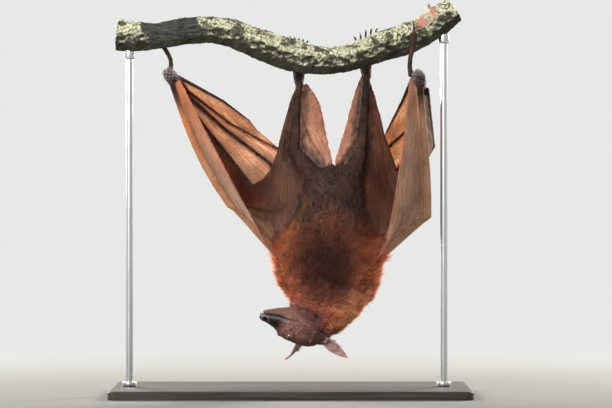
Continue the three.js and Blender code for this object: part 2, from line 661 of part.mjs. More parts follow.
function makeMembranes(side, wing) {
  // Propatagium: the web in front of the elbow, between shoulder, elbow and wrist.
  const bowed = bonePath([wing.wrist, wing.elbow, wing.shoulder]);
  const armLine = (t) => bowed(t).addScaledVector(wing.forearmBow, Math.sin(Math.PI * Math.min(2 * t, 1)));
  const [rim, armEdge] = drawnIn(smoothPath(wing.leadingEdge), armLine, () => 0, armMargin);
  const front = (u, v) => {
    const t = 0.03 + 0.95 * u;
    return rim(t).multiplyScalar(1 - v).addScaledVector(armEdge(t), v);
  };
  place(`propatagium_${side}`, 'wing', sheetOf(front, { along: 10, across: 2 }));

  // Plagiopatagium: the broad web from arm and fifth finger to flank and leg.
  const little = fingerLine(wing.digits[5], 3);
  const free = smoothPath([wing.digits[5][3], ...wing.freeEdge]);
  const outer = (u) => (u < 0.5 ? little(2 * u) : free(2 * u - 1));
  const upperForearm = wing.wrist.clone().lerp(wing.elbow, 0.1);
  const straight = bonePath([upperForearm, wing.elbow, wing.flank[0]]);
  const inner = (t) => straight(t).addScaledVector(wing.forearmBow, Math.sin(Math.PI * Math.min(2 * t, 1)));
  const littleMargin = fingerMargin(wing.digits[5], 5, 3);
  const outerMargin = (t) => (t < 0.5 ? littleMargin(2 * t) : 0);
  const [innerEdge, outerEdge] = drawnIn(inner, outer, armMargin, outerMargin);
  const flank = smoothPath([...wing.flank, wing.knee, wing.freeEdge[3].clone()]);
  const web = patch(innerEdge, outerEdge, flank);
  const broad = sheetOf(billowed(web, at(0, 10, 0)), { along: 12, across: 4, thickness: BROAD_WEB });
  place(`plagiopatagium_${side}`, 'wing', broad);

  // The hand's three webs.
  const folds = { 2: at(0, 2, -2), 3: at(0, 9, 0), 4: at(0, 8, 0) };
  for (const digit of [2, 3, 4]) {
    const [bonesA, bonesB] = digit === 2 ? [2, 1.86] : [3, 3];
    const surface = handMembrane(wing, digit, bonesA, bonesB, folds[digit]);
    place(`hand_web_${digit}_${digit + 1}_${side}`, 'wing', sheetOf(surface, { along: 6, across: 2 }));
  }
}

/** The narrow tail membrane along the inside of each leg, from the ankle's spur to the rump. */
function makeTailMembrane(side, leg) {
  const legLine = bonePath([leg.ankle, leg.knee, leg.hip]);
  const edge = smoothPath(leg.tailEdge);
  const web = (u, v) => {
    const t = 0.03 + 0.97 * u;
    return legLine(t).multiplyScalar(1 - v).addScaledVector(edge(t), v);
  };
  place(`uropatagium_${side}`, 'wing', sheetOf(web, { along: 8, across: 2 }));
}

// ---------------------------------------------------------------- the whole model

makePerch();
makeStand();
makeEyes();
makeHead();
makeTrunk();
makeEars();
for (const [side, joints] of [['left', LEFT], ['right', RIGHT]]) {
  makeLeg(side, joints);
  makeArm(side, joints);
  makeFingers(side, joints);
  makeMembranes(side, joints);
  makeTailMembrane(side, joints);
}

export default bat;
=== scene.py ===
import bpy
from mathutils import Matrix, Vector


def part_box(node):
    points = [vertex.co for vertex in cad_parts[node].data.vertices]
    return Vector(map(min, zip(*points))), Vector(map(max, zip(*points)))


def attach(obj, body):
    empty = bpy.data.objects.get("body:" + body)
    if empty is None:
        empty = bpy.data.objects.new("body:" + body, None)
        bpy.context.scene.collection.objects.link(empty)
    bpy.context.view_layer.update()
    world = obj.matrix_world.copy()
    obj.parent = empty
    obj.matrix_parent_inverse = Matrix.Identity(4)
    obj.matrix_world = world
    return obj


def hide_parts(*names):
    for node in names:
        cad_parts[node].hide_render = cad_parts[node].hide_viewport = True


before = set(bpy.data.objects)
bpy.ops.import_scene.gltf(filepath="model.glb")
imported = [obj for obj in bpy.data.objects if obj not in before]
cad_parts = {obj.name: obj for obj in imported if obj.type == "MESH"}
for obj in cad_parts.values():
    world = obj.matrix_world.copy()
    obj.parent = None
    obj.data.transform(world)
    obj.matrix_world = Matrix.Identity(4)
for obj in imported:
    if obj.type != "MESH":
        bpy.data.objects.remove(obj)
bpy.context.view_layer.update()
print(len(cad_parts), "solids in the frame")

# %% Libraries and units
import math

import bpy
import numpy as np
from mathutils import Matrix, Vector
from mathutils.bvhtree import BVHTree

MM = 0.001  # lengths are in metres, and a bat is measured in millimetres
chance = np.random.default_rng(7)

# %% [markdown]
# ## Names of the solids
# The bat has two sides, so most names come in pairs. They are sorted here by what grows on them: a thick
# coat, bare leathery skin, or thin membrane.
# %% Sort the solids
SIDES = ("left", "right")


def pairs(*names):
    """Each name once for the left side and once for the right."""
    return [f"{name}_{side}" for side in SIDES for name in names]


FURRED = ["trunk", "neck", "head", "jaw"] + pairs("thigh", "upper_arm")
BARE = pairs("forearm", "hand", "thumb", "digit_2", "digit_3", "digit_4", "digit_5", "shin", "foot")
EARS = pairs("ear")
WEBS = pairs("propatagium", "plagiopatagium", "hand_web_2_3", "hand_web_3_4", "hand_web_4_5", "uropatagium")
FLESH = FURRED + BARE + EARS + WEBS
print(len(FLESH), "solids of flesh")

# %% [markdown]
# ## Working with meshes
# An operator acts on whatever is selected, so every step starts by selecting one piece. A solid of the
# frame is never changed. Its copy has its loose triangles welded first, or no modifier would treat it as
# one surface. Reading and moving all the points of a piece at once, as one array, keeps sculpting fast.
# %% Select, copy and finish pieces
def only(*pieces):
    """Selects these pieces and nothing else. The last one becomes the active piece."""
    bpy.ops.object.select_all(action="DESELECT")
    for piece in pieces:
        piece.select_set(True)
        bpy.context.view_layer.objects.active = piece


def joined(name, *pieces):
    """Several pieces made one."""
    only(*pieces)
    if len(pieces) > 1:
        bpy.ops.object.join()
    piece = bpy.context.object
    piece.name = piece.data.name = name
    return piece


def in_edit_mode(piece, *steps):
    """Runs mesh operators, given as functions, on the whole of a piece."""
    only(piece)
    bpy.ops.object.mode_set(mode="EDIT")
    bpy.ops.mesh.select_all(action="SELECT")
    for step in steps:
        step()
    bpy.ops.object.mode_set(mode="OBJECT")
    return piece


def weld():
    """Merges the loose points of a copied solid and forgets its stored normals."""
    bpy.ops.mesh.remove_doubles(threshold=0.02 * MM)
    bpy.ops.mesh.customdata_custom_splitnormals_clear()


def copy_of(name, *nodes):
    """One new welded piece from copies of the frame's solids."""
    twins = []
    for node in nodes:
        twin = bpy.data.objects.new(name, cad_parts[node].data.copy())
        twin.data.materials.clear()
        bpy.context.collection.objects.link(twin)
        twins.append(twin)
    return in_edit_mode(joined(name, *twins), weld)


def apply(piece, kind, **settings):
    """Adds a modifier with these settings and applies it."""
    only(piece)
    modifier = piece.modifiers.new(kind.lower(), kind)
    for key, value in settings.items():
        setattr(modifier, key, value)
    bpy.ops.object.modifier_apply(modifier=modifier.name)


# %% Read and move points
def points_of(piece):
    """The piece's points, one row each."""
    points = np.empty(len(piece.data.vertices) * 3, np.float32)
    piece.data.vertices.foreach_get("co", points)
    return points.reshape(-1, 3).astype(float)


def normals_of(piece):
    """The outward direction at each point."""
    normals = np.empty(len(piece.data.vertices) * 3, np.float32)
    piece.data.vertices.foreach_get("normal", normals)
    return normals.reshape(-1, 3).astype(float)


def put_points(piece, points):
    piece.data.vertices.foreach_set("co", points.astype(np.float32).ravel())
    piece.data.update()


def neighbour_mean(values, edges):
    """The mean of each point's neighbours."""
    count = np.bincount(edges.ravel(), minlength=len(values))
    total = np.empty_like(values)
    for column in range(values.shape[1]):
        one_way = np.bincount(edges[:, 0], values[edges[:, 1], column], len(values))
        other_way = np.bincount(edges[:, 1], values[edges[:, 0], column], len(values))
        total[:, column] = one_way + other_way
    return total / count[:, None]


def edges_of(piece):
    edges = np.empty(len(piece.data.edges) * 2, np.int32)
    piece.data.edges.foreach_get("vertices", edges)
    return edges.reshape(-1, 2)


def softened(values, edges, rounds):
    """A value on each point, blurred over the surface."""
    values = values.reshape(len(values), -1).astype(float)
    for _ in range(rounds):
        values = 0.5 * values + 0.5 * neighbour_mean(values, edges)
    return values.squeeze()


def relax(piece, rounds):
    """Smooths without shrinking: each pull towards the neighbours is followed by a push back."""
    points, edges = points_of(piece), edges_of(piece)
    for _ in range(rounds):
        for pull in (0.5, -0.52):
            points += pull * (neighbour_mean(points, edges) - points)
    put_points(piece, points)


def smooth_step(value, low, high):
    """Zero below low, one above high, and soft between."""
    share = np.clip((value - low) / (high - low), 0, 1)
    return share * share * (3 - 2 * share)


# %% Find the nearest solid
def tree_of(nodes):
    """A search tree over some solids, and the number in nodes that each of its faces belongs to."""
    points, faces, owners = [], [], []
    for number, node in enumerate(nodes):
        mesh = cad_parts[node].data
        start = len(points)
        points += [v.co[:] for v in mesh.vertices]
        faces += [[start + i for i in face.vertices] for face in mesh.polygons]
        owners += [number] * len(mesh.polygons)
    return BVHTree.FromPolygons(points, faces), np.array(owners)


def nearest(points, nodes):
    """For each point, the number in nodes of the nearest solid, and how far off it is."""
    tree, owners = tree_of(nodes)
    hits = [tree.find_nearest(point) for point in points.tolist()]
    return owners[[hit[2] for hit in hits]], np.array([hit[3] for hit in hits])


# %% [markdown]
# ## The head's own axes
# The head is turned to one side and a little up, so its features are placed in axes of its own: forward
# along the muzzle, sideways to the bat's left, and up to the crown. They are the same three turns that
# the solids were made with, so an eye lands in its socket.
# %% Head axes
HEAD_AT = Vector((31, 5, 88)) * MM
HEAD_TURN, HEAD_LIFT, HEAD_ROLL = math.radians(30), math.radians(15), math.radians(10)


def head_matrix():
    """From the head's axes to the frame's."""
    forward = Vector((-math.cos(HEAD_LIFT) * math.cos(HEAD_TURN),
                      -math.cos(HEAD_LIFT) * math.sin(HEAD_TURN), math.sin(HEAD_LIFT)))
    down = Vector((0, 0, -1))
    crown = (down - forward * down.dot(forward)).normalized()
    crown = Matrix.Rotation(-HEAD_ROLL, 3, forward) @ crown
    side = crown.cross(forward)
    return Matrix.Translation(HEAD_AT) @ Matrix((forward, side, crown)).transposed().to_4x4()


def middle_of(node):
    """The middle of a solid's box."""
    low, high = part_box(node)
    return (low + high) / 2


HEAD = head_matrix()
HEAD_AXES = np.array(HEAD.to_3x3())
EYE_CENTRES = {side: middle_of(f"eye_{side}") for side in SIDES}
EYE_RADIUS = (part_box("eye_left")[1].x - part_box("eye_left")[0].x) / 2


def in_head(points):
    """Points in the head's axes, in millimetres."""
    return (points - np.array(HEAD_AT)) @ HEAD_AXES / MM


EYES_IN_HEAD = {side: in_head(np.array([EYE_CENTRES[side]]))[0] for side in SIDES}
print("eyes, in head axes:", {side: at.round(1).tolist() for side, at in EYES_IN_HEAD.items()})

# %% [markdown]
# ## One skin
# A real bat's skin runs without a seam from the muzzle to the wing tips. The solids are separate, with
# thin gaps. A voxel remesh of all of them together closes the gaps and gives one even surface. The solids
# reach out to the tips of the coat, so the furry ones are first drawn in by the depth of the coat. Near a
# wing or a limb the depth fades out, and the skin rises to meet it.
# %% Body core, drawn in by the depth of the coat
COAT_DEPTH = {"trunk": 5.5, "neck": 8.0, "head": 1.3, "jaw": 0.8, "thigh_left": 3.0, "thigh_right": 3.0,
              "upper_arm_left": 3.0, "upper_arm_right": 3.0}
CORE_VOXEL = 2.0 * MM
RISE = 0.55  # how steeply the skin rises towards a wing or limb

core = copy_of("core", *FURRED)
apply(core, "REMESH", mode="VOXEL", voxel_size=CORE_VOXEL, use_smooth_shade=True)
core_points = softened(points_of(core), edges_of(core), 12)
put_points(core, core_points)
owner, _ = nearest(core_points, FURRED)
depth = np.array([COAT_DEPTH[node] for node in FURRED])[owner] * MM
_, to_limb = nearest(core_points, BARE + WEBS + EARS)
depth = np.minimum(softened(depth, edges_of(core), 40), RISE * to_limb)
depth = softened(depth, edges_of(core), 6)
put_points(core, core_points - normals_of(core) * depth[:, None])
relax(core, 4)
print("core", len(core_points), "points, coat up to", round(depth.max() / MM, 1), "mm deep")

# %% [markdown]
# The wings are a millimetre thick, which is thinner than the voxels can hold. So they are first cut finer,
# drawn into the body where they come near it, and swollen a little. A ball round each eye is added for the
# lids, which a later step opens, and a fleshy cone joins each ear to the skull.
# %% Lids, ear roots and membranes
SKIN_VOXEL = 1.1 * MM
SWELL = 0.5 * MM  # added to each side of a membrane
TUCK_REACH, TUCK_PAST = 9 * MM, 1.5 * MM  # a membrane this near the body is drawn this far into it
LID_RADIUS = EYE_RADIUS + 0.8 * MM
EAR_ROOTS = {"right": ((12, -17, 4), (-12, -21, 5)), "left": ((14, 13, 8), (3, 19, 18))}  # in head axes
EAR_ROOT_RADII = (9 * MM, 7 * MM)


def lid_ball(side):
    """A ball a little larger than the eye, for both lids."""
    bpy.ops.mesh.primitive_uv_sphere_add(segments=32, ring_count=16, radius=LID_RADIUS,
                                         location=EYE_CENTRES[side])
    return bpy.context.object


def ear_root(side):
    """A tapered stalk from inside the skull to the foot of the ear."""
    start, end = (HEAD @ (Vector(at) * MM) for at in EAR_ROOTS[side])
    along = end - start
    bpy.ops.mesh.primitive_cone_add(vertices=24, radius1=EAR_ROOT_RADII[0], radius2=EAR_ROOT_RADII[1],
                                    depth=along.length, location=(start + end) / 2,
                                    rotation=along.to_track_quat("Z", "Y").to_euler())
    return bpy.context.object


def cut_finer():
    bpy.ops.mesh.subdivide(number_cuts=4)


def tuck(piece, body):
    """Draws the points of a membrane that lie near the body through its surface."""
    points = points_of(piece)
    tree = BVHTree.FromObject(body, bpy.context.evaluated_depsgraph_get())
    hits = [tree.find_nearest(point) for point in points.tolist()]
    gap = np.array([hit[3] for hit in hits])
    pull = 1 - smooth_step(gap, 0.35 * TUCK_REACH, TUCK_REACH)
    pull *= 1 + TUCK_PAST / np.maximum(gap, TUCK_PAST)
    put_points(piece, points + (np.array([hit[0] for hit in hits]) - points) * pull[:, None])


# %% Join and remesh
webs = in_edit_mode(copy_of("webs", *WEBS), cut_finer)
tuck(webs, core)
apply(webs, "DISPLACE", strength=SWELL, mid_level=0)
ears = in_edit_mode(copy_of("ears", *EARS), cut_finer)
apply(ears, "DISPLACE", strength=SWELL, mid_level=0)
limbs = copy_of("limbs", *BARE)
added = [shape(side) for side in SIDES for shape in (lid_ball, ear_root)]
skin = joined("bat_skin", *added, webs, ears, limbs, core)
apply(skin, "REMESH", mode="VOXEL", voxel_size=SKIN_VOXEL, use_smooth_shade=True)
relax(skin, 5)
print("skin", len(skin.data.vertices), "points")

# %% [markdown]
# ## Sculpting the head
# Each feature is a small push along the surface, written in the head's own axes. The lids open where the
# skin is pressed below the eyeball, so the eye sits in the head with a real edge round it. The mouth is a
# groove between two soft lips, and each nostril is a short round hole in a raised rim.
# %% Lids, mouth and nostrils
def bump(distance, width):
    """One at no distance, falling smoothly to nothing."""
    return np.exp(-(distance / width) ** 2)


GAZE = {"left": np.array([0.42, 0.78, 0.46]), "right": np.array([0.42, -0.78, 0.46])}  # in head axes
LID_OPENING = 1.04  # half angle of the open eye along the lids, in radians
LID_HEIGHT = 0.84  # how high the opening is beside its length
MOUTH = np.array([[95, -5.6], [84, -7], [66, -9.5], [48, -8.5], [38, -11]])  # forward and crown, in head axes
NOSTRIL = np.array([85.3, 8.8, 0.7])
NOSTRIL_AXIS = np.array([0.72, 0.69, 0.0])  # outward along the hole
NOSTRIL_REACH, FAR_OFF = 9, 99
LID_REACH, EYE_REACH = 8.5, 12  # from the middle of the eye: the lids' edges and their folds end here
FACE_BOX = ((34, 97), (-24, 24), (-26, 26))  # what is sculpted: forward, sideways and crown


def sides_of_eye(local, side):
    """For points in head axes: offset from the eye, and the slant from its gaze within the almond."""
    offset = local - EYES_IN_HEAD[side]
    gaze = GAZE[side] / np.linalg.norm(GAZE[side])
    along = np.array([1.0, 0, 0]) - gaze * gaze[0]
    along /= np.linalg.norm(along)
    up = np.cross(gaze, along)
    far = np.linalg.norm(offset, axis=1)
    slant = np.arctan2(np.hypot(offset @ along, (offset @ up) / LID_HEIGHT), offset @ gaze)
    return offset, far, slant


def from_nostril(local):
    """Distance of each point from the axis of the nearer nostril, and very far if it isn't close by."""
    offset = np.column_stack([local[:, 0], np.abs(local[:, 1]), local[:, 2]]) - NOSTRIL
    off_axis = offset - np.outer(offset @ NOSTRIL_AXIS, NOSTRIL_AXIS)
    close = np.linalg.norm(offset, axis=1) < NOSTRIL_REACH
    return np.where(close, np.linalg.norm(off_axis, axis=1), FAR_OFF)


def open_lids(local):
    """Presses the skin below the eyeball inside the opening, and folds it softly outside."""
    for side in SIDES:
        offset, far, slant = sides_of_eye(local, side)
        near_eye = bump(np.maximum(far - LID_RADIUS / MM, 0), 3.0)
        inside = 1 / (1 + np.exp((slant - LID_OPENING) * 22))
        target = far * (1 - inside) + np.minimum(far, EYE_RADIUS / MM - 1.6) * inside
        fold = 0.55 * bump(slant - LID_OPENING - 0.16, 0.12) - 0.5 * bump(slant - LID_OPENING - 0.52, 0.14)
        target = target + fold * near_eye
        close = far < EYE_REACH
        local[close] = EYES_IN_HEAD[side] + offset[close] * (target / far)[close][:, None]
    return local


def sculpt_head(piece):
    """All the pushes, on the points of the head alone."""
    points, normals = points_of(piece), normals_of(piece)
    local, outward = in_head(points), normals @ HEAD_AXES
    lip = np.interp(local[:, 0], MOUTH[::-1, 0], MOUTH[::-1, 1])
    low, high = np.array(FACE_BOX).T
    on_face = ((local > low) & (local < high)).all(axis=1)
    fade = np.clip((local[:, 0] - low[0]) / 12, 0, 1) * on_face
    off = local[:, 2] - lip
    push = fade * (-1.5 * bump(off, 0.9) + 0.55 * bump(off - 2.3, 1.3) + 0.45 * bump(off + 2.3, 1.3))
    sideways = np.abs(local[:, 1])
    to_nostril = from_nostril(local)
    push += on_face * (-4.2 * bump(to_nostril, 2.4) + 0.9 * bump(to_nostril - 4.2, 1.2))
    cleft = bump(local[:, 1], 1.2) * np.clip((local[:, 0] - 78) / 6, 0, 1)
    push += -1.1 * cleft * on_face
    brow = np.linalg.norm(np.column_stack([local[:, 0], sideways, local[:, 2]]) - [40, 9.5, 19.5], axis=1)
    push += 0.9 * bump(brow, 5.0) * on_face
    local = open_lids(local + outward * push[:, None])
    put_points(piece, np.array(HEAD_AT) + local * MM @ HEAD_AXES.T)


sculpt_head(skin)
print("head sculpted")

# %% [markdown]
# ## Pleats in the wings
# A half-folded wing is never smooth. Fine pleats run out like a fan from the wrist along the hand, and
# from the ankle down to the flank. Each point of a membrane gets its angle and its distance in the fan of
# its own sheet. The pleats are made from them here, and the streaks in the finish use them again.
# %% Fans of pleats
FAN_HUBS = {"propatagium": "hand", "hand_web_2_3": "hand", "hand_web_3_4": "hand", "hand_web_4_5": "hand",
            "plagiopatagium": "shin", "uropatagium": "shin"}
PLEAT = 0.6 * MM  # how far a pleat stands to each side
PLEAT_START = 0.07  # a pleat has its full depth from this far out of the hub


def hub_of(web):
    """Where the pleats of a web spread from: its wrist or its ankle."""
    kind, side = web.rsplit("_", 1)
    hub = f"{FAN_HUBS[kind]}_{side}"
    return Vector((*middle_of(hub).xy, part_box(hub)[1].z))


def fan_of(points, owner):
    """Angle and distance of each point in its own web's fan, and zero elsewhere."""
    angle, reach = np.zeros(len(points)), np.zeros(len(points))
    for web in WEBS:
        mine = owner == FLESH.index(web)
        away = points[mine] - np.array(hub_of(web))
        run = np.linalg.svd(away[:, :2] - away[:, :2].mean(axis=0), full_matrices=False)[2][0]
        angle[mine] = np.arctan2(away[:, :2] @ run, -away[:, 2])
        reach[mine] = np.linalg.norm(away, axis=1)
    return angle, reach


# %% Press the pleats
skin_points = points_of(skin)
owner, _ = nearest(skin_points, FLESH)
skin_edges = edges_of(skin)
on_web = np.isin(owner, [FLESH.index(web) for web in WEBS]).astype(float)
inner_web = np.clip(softened(on_web, skin_edges, 6) * 2 - 1, 0, 1)
angle, reach = fan_of(skin_points, owner)
wobble = 6 * np.sin(reach * 31) + 4 * np.sin(skin_points[:, 0] * 47 + skin_points[:, 2] * 29)
pleat = np.sin(angle * 74 + wobble) * 0.6 + np.sin(angle * 31 - wobble * 0.7) * 0.8
pleat *= inner_web * np.clip(reach / PLEAT_START, 0, 1) * PLEAT
skin_points[:, 1] += pleat
rims = np.clip(softened(np.isin(owner, [FLESH.index(node) for node in WEBS + EARS]), skin_edges, 2), 0, 1)
for _ in range(12):
    skin_points += 0.5 * rims[:, None] * (neighbour_mean(skin_points, skin_edges) - skin_points)
    skin_points -= 0.5 * rims[:, None] * (neighbour_mean(skin_points, skin_edges) - skin_points)
put_points(skin, skin_points)
print("pleats up to", round(np.abs(pleat).max() / MM, 2), "mm")

# %% [markdown]
# ## Fewer triangles where they aren't seen
# Under the coat the skin hardly shows, while lids and toes need every point. The Decimate modifier takes
# a vertex group that says where triangles may go first.
# %% Thin out the skin
SKIN_TRIANGLES = 198000
KEEP = {"head": 1.0, "jaw": 1.0, "foot": 0.8, "ear": 0.9, "thumb": 0.7, "hand": 0.5, "trunk": 0.0,
        "neck": 0.0, "upper_arm": 0.05, "thigh": 0.1}
KEEP_ELSEWHERE = 0.3


def kind_of(node):
    """A node's name without its side."""
    return node.rsplit("_", 1)[0] if node.endswith(SIDES) else node


keep = np.array([KEEP.get(kind_of(node), KEEP_ELSEWHERE) for node in FLESH])[owner]
group = skin.vertex_groups.new(name="spare")
for level in np.unique(keep):
    group.add(np.flatnonzero(keep == level).tolist(), float(1 - level), "REPLACE")
before = sum(len(face.vertices) - 2 for face in skin.data.polygons)
apply(skin, "DECIMATE", ratio=SKIN_TRIANGLES / before, vertex_group="spare", vertex_group_factor=1.0)
skin.vertex_groups.clear()
apply(skin, "TRIANGULATE")
print("skin from", before, "to", len(skin.data.polygons), "triangles")

# %% [markdown]
# ## Marks on the skin
# Finishes need to know where they are: on the face, in the ruff, on a wing. Each mark is a number from 0
# to 1 on every point, worked out from the nearest solid or from the place in the head's axes, and blurred
# so that one finish runs softly into the next. The same function marks the coat, so that hair and skin
# always agree.
# %% Masks shared by skin and coat
def near_nodes(owner, *kinds):
    """One where the nearest solid is of one of these kinds."""
    wanted = [number for number, node in enumerate(FLESH) if kind_of(node) in kinds]
    return np.isin(owner, wanted).astype(float)


BODY_X = 53 * MM  # the middle of the trunk
MANTLE = (196 * MM, 262 * MM)  # the ruff fades out between these heights
GOLD_SPAN = (200 * MM, 212 * MM, 262 * MM, 276 * MM)  # the painted highlight fades in, then out, over these heights
CHEST_AT = np.array([50, -30, 174]) * MM  # the dark middle of the chest
CHEST_SIZE = np.array([57, 52, 76]) * MM
NAPE_AT = np.array([88, 8, 112]) * MM  # where backlight glow is painted brightest into the ruff
GOLD_LINE = np.array([[20, 272], [10, 236], [-7, 206]]) * MM  # a painted golden highlight down the edge of the left flank: x and z
TAIL_X = 59 * MM  # the middle of the tail web
TAIL_LINE = np.array([[13, 410], [18, 381], [28, 357], [46, 330]]) * MM  # a cord in the tail web: x and z


def coat_marks(points):
    """Ruff, dark chest, face, a painted golden highlight on the left flank and the nape's painted glow, for
    any points of the body.
    """
    local = in_head(points)
    head = 1 - smooth_step(np.linalg.norm((local - [30, 0, 0]) / [56, 31, 33], axis=1), 0.86, 1.12)
    ears = smooth_step(np.abs(local[:, 1]), 19, 25) * smooth_step(local[:, 2], -8, 2)
    head = np.maximum(head, ears * (local[:, 0] < 25))
    height = points[:, 2] + 10 * MM * np.sin(points[:, 0] * 90)
    ruff = 1 - smooth_step(height, *MANTLE)
    chest = 1 - smooth_step(np.linalg.norm((points - CHEST_AT) / CHEST_SIZE, axis=1), 0.3, 1.15)
    back = smooth_step(points[:, 1], 18 * MM, 44 * MM) * smooth_step(points[:, 2], 150 * MM, 200 * MM)
    # Nape: where a glow of backlight is painted into the ruff's colour.
    nape = 1 - smooth_step(np.linalg.norm(points - NAPE_AT, axis=1), 14 * MM, 46 * MM)
    streak = np.interp(points[:, 2], GOLD_LINE[::-1, 1], GOLD_LINE[::-1, 0])
    along = smooth_step(points[:, 2], *GOLD_SPAN[:2]) * (1 - smooth_step(points[:, 2], *GOLD_SPAN[2:]))
    # A painted golden highlight along the edge of the left flank.
    gold = bump(points[:, 0] - streak, 5.5 * MM) * along * (1 - smooth_step(points[:, 1], -5 * MM, 15 * MM))
    dark = np.maximum(np.maximum(chest, 0.9 * back) * (1 - head), 0.7 * ears)
    return {"ruff": ruff * (1 - head), "dark": dark, "face": head * (1 - 0.7 * ears), "gold": gold,
            "nape": nape * (1 - head)}


def sharpness(points, normals, edges):
    """How far each point stands out from its neighbours, as a share of their distance."""
    lengths = np.linalg.norm(points[edges[:, 0]] - points[edges[:, 1]], axis=1)
    spacing = np.bincount(edges.ravel(), np.repeat(lengths, 2)) / np.bincount(edges.ravel())
    stand = (points - neighbour_mean(points, edges)) * normals
    return stand.sum(axis=1) / spacing


def put_mark(piece, name, values):
    """Stores one number, or one vector, for each point."""
    vector = values.ndim == 2
    layer = piece.data.attributes.new(name, "FLOAT_VECTOR" if vector else "FLOAT", "POINT")
    layer.data.foreach_set("vector" if vector else "value", values.astype(np.float32).ravel())


# %% Furred and bare parts
OUT_OF_COAT = (50 * MM, 80 * MM)  # the arms come out of the coat this far from the middle of the trunk
BARE_FOREARM = (375 * MM, 425 * MM)  # above this the forearm is bare skin, and below it like the wing

skin_points, skin_edges, skin_normals = points_of(skin), edges_of(skin), normals_of(skin)
owner, _ = nearest(skin_points, FLESH)
local = in_head(skin_points)
marks = coat_marks(skin_points)
on_head = np.clip(softened(near_nodes(owner, "head", "jaw"), skin_edges, 3), 0, 1)
web = near_nodes(owner, *{kind_of(node) for node in WEBS})
ear = softened(near_nodes(owner, "ear"), skin_edges, 3)
front = 1 - smooth_step(skin_normals[:, 1], -0.1, 0.35)
down_arm = 1 - smooth_step(skin_points[:, 2], *BARE_FOREARM)
on_arm = near_nodes(owner, "upper_arm") * front
on_arm *= smooth_step(np.abs(skin_points[:, 0] - BODY_X), *OUT_OF_COAT)
furred = near_nodes(owner, "trunk", "neck", "thigh", "upper_arm", "head", "jaw") * (1 - on_arm)
furred = softened(furred, skin_edges, 3)
arm_sheet = softened(np.maximum(on_arm, near_nodes(owner, "forearm") * front * down_arm), skin_edges, 4)
print(round(100 * furred.mean()), "% of the skin's points are under the coat")

# %% Pale, dark and red parts of the wings
# Tone: how much glow of light through the membrane is painted into each part, from its own dark brown at 0 to
# orange, beige and tan at 1.
TONES = {"propatagium": 1.0, "hand_web_2_3": 0.95, "hand_web_3_4": 0.92, "hand_web_4_5": 0.8,
         "uropatagium": 0.55, "plagiopatagium": 0.12, "upper_arm": 1.0, "forearm": 1.0}
FOLDED_TIP = (163 * MM, 176 * MM)  # the right wing's tip, folded behind the arm, is painted paler, with more glow, from here out
SHADED_ARM = (100 * MM, 130 * MM)  # the right arm is darker from here out

toned = [node for node in FLESH if kind_of(node) in TONES]
tone = np.array([TONES[kind_of(node)] for node in toned])[nearest(skin_points, toned)[0]]
fingers = [node for node in BARE if kind_of(node).startswith(("digit", "hand"))]
_, to_finger = nearest(skin_points, fingers)
folded_tip = 0.55 * near_nodes(owner, "plagiopatagium") * smooth_step(skin_points[:, 0], *FOLDED_TIP)
shaded_arm = near_nodes(owner, "forearm", "upper_arm") * smooth_step(skin_points[:, 0], *SHADED_ARM)
tone = softened(np.maximum(tone, folded_tip) * (1 - 0.4 * shaded_arm), skin_edges, 4)
tone = softened(tone * smooth_step(to_finger, 0.3 * MM, 2.6 * MM), skin_edges, 2)
legs = [node for node in FLESH if kind_of(node) in ("shin", "foot", "thigh")]
_, to_leg = nearest(skin_points, legs)
# Painted shade on the membranes near the legs.
dusk = (1 - smooth_step(to_leg, 1 * MM, 17 * MM)) * near_nodes(owner, "plagiopatagium", "uropatagium")
# Rim: the membranes' sharp edges, dark on the dark parts, with a painted red glow on the light parts.
rim = smooth_step(sharpness(skin_points, skin_normals, skin_edges), 0.12, 0.3) * web
rim = softened(rim, skin_edges, 1)
across_body = np.where(skin_points[:, 0] < BODY_X, skin_points[:, 0], 2 * TAIL_X - skin_points[:, 0])
cord = bump(across_body - np.interp(skin_points[:, 2], TAIL_LINE[::-1, 1], TAIL_LINE[::-1, 0]), 1.3 * MM)
cord *= near_nodes(owner, "uropatagium")
print("wing tones from", round(tone[web > 0].min(), 2), "to", round(tone[web > 0].max(), 2))

# %% Lips, nostrils and lids
lip = np.interp(local[:, 0], MOUTH[::-1, 0], MOUTH[::-1, 1])
along_mouth = smooth_step(local[:, 0], 34, 44) * on_head
to_nostril = from_nostril(local)
slants = [sides_of_eye(local, side)[1:] for side in SIDES]
lid_edge = sum(bump(slant - LID_OPENING, 0.11) * (far < LID_REACH) for far, slant in slants)
lid_dark = sum(bump(np.maximum(slant - LID_OPENING, 0), 0.6) * (far < EYE_REACH) for far, slant in slants)
shadow = bump(local[:, 2] - lip, 1.1) * along_mouth + 1.2 * bump(to_nostril, 2.6) * on_head
# Pale: lighter lid edges, painted highlights on the nostril rims, and a painted sheen along the upper lip.
pale = lid_edge * 0.5 + 0.4 * on_head * bump(to_nostril - 4.5, 1.1)
pale += 0.5 * along_mouth * bump(local[:, 2] - lip - 3.4, 1.7) * smooth_step(local[:, 0], 46, 58)
shadow += 0.75 * lid_dark * on_head
print("skin under the eyes", round(min(far.min() for far, _ in slants), 1), "mm from their middles")

# %% Put the marks on the skin
marks.update(cord=cord, dusk=softened(dusk, skin_edges, 3), rim=rim, arm_sheet=arm_sheet, furred=furred,
             muzzle=on_head * smooth_step(local[:, 0], 50, 66),
             jaw=on_head * smooth_step(lip - local[:, 2], -1, 5),
             shadow=shadow, pale=pale, ear=ear, tone=tone)
for name, values in marks.items():
    put_mark(skin, name, np.clip(values, 0, 1))
angle, reach = fan_of(skin_points, owner)
put_mark(skin, "head_place", local * MM)
put_mark(skin, "fan", np.column_stack([angle * 0.1, reach, np.zeros(len(angle))]))
print(len(marks), "marks on", len(skin_points), "points")

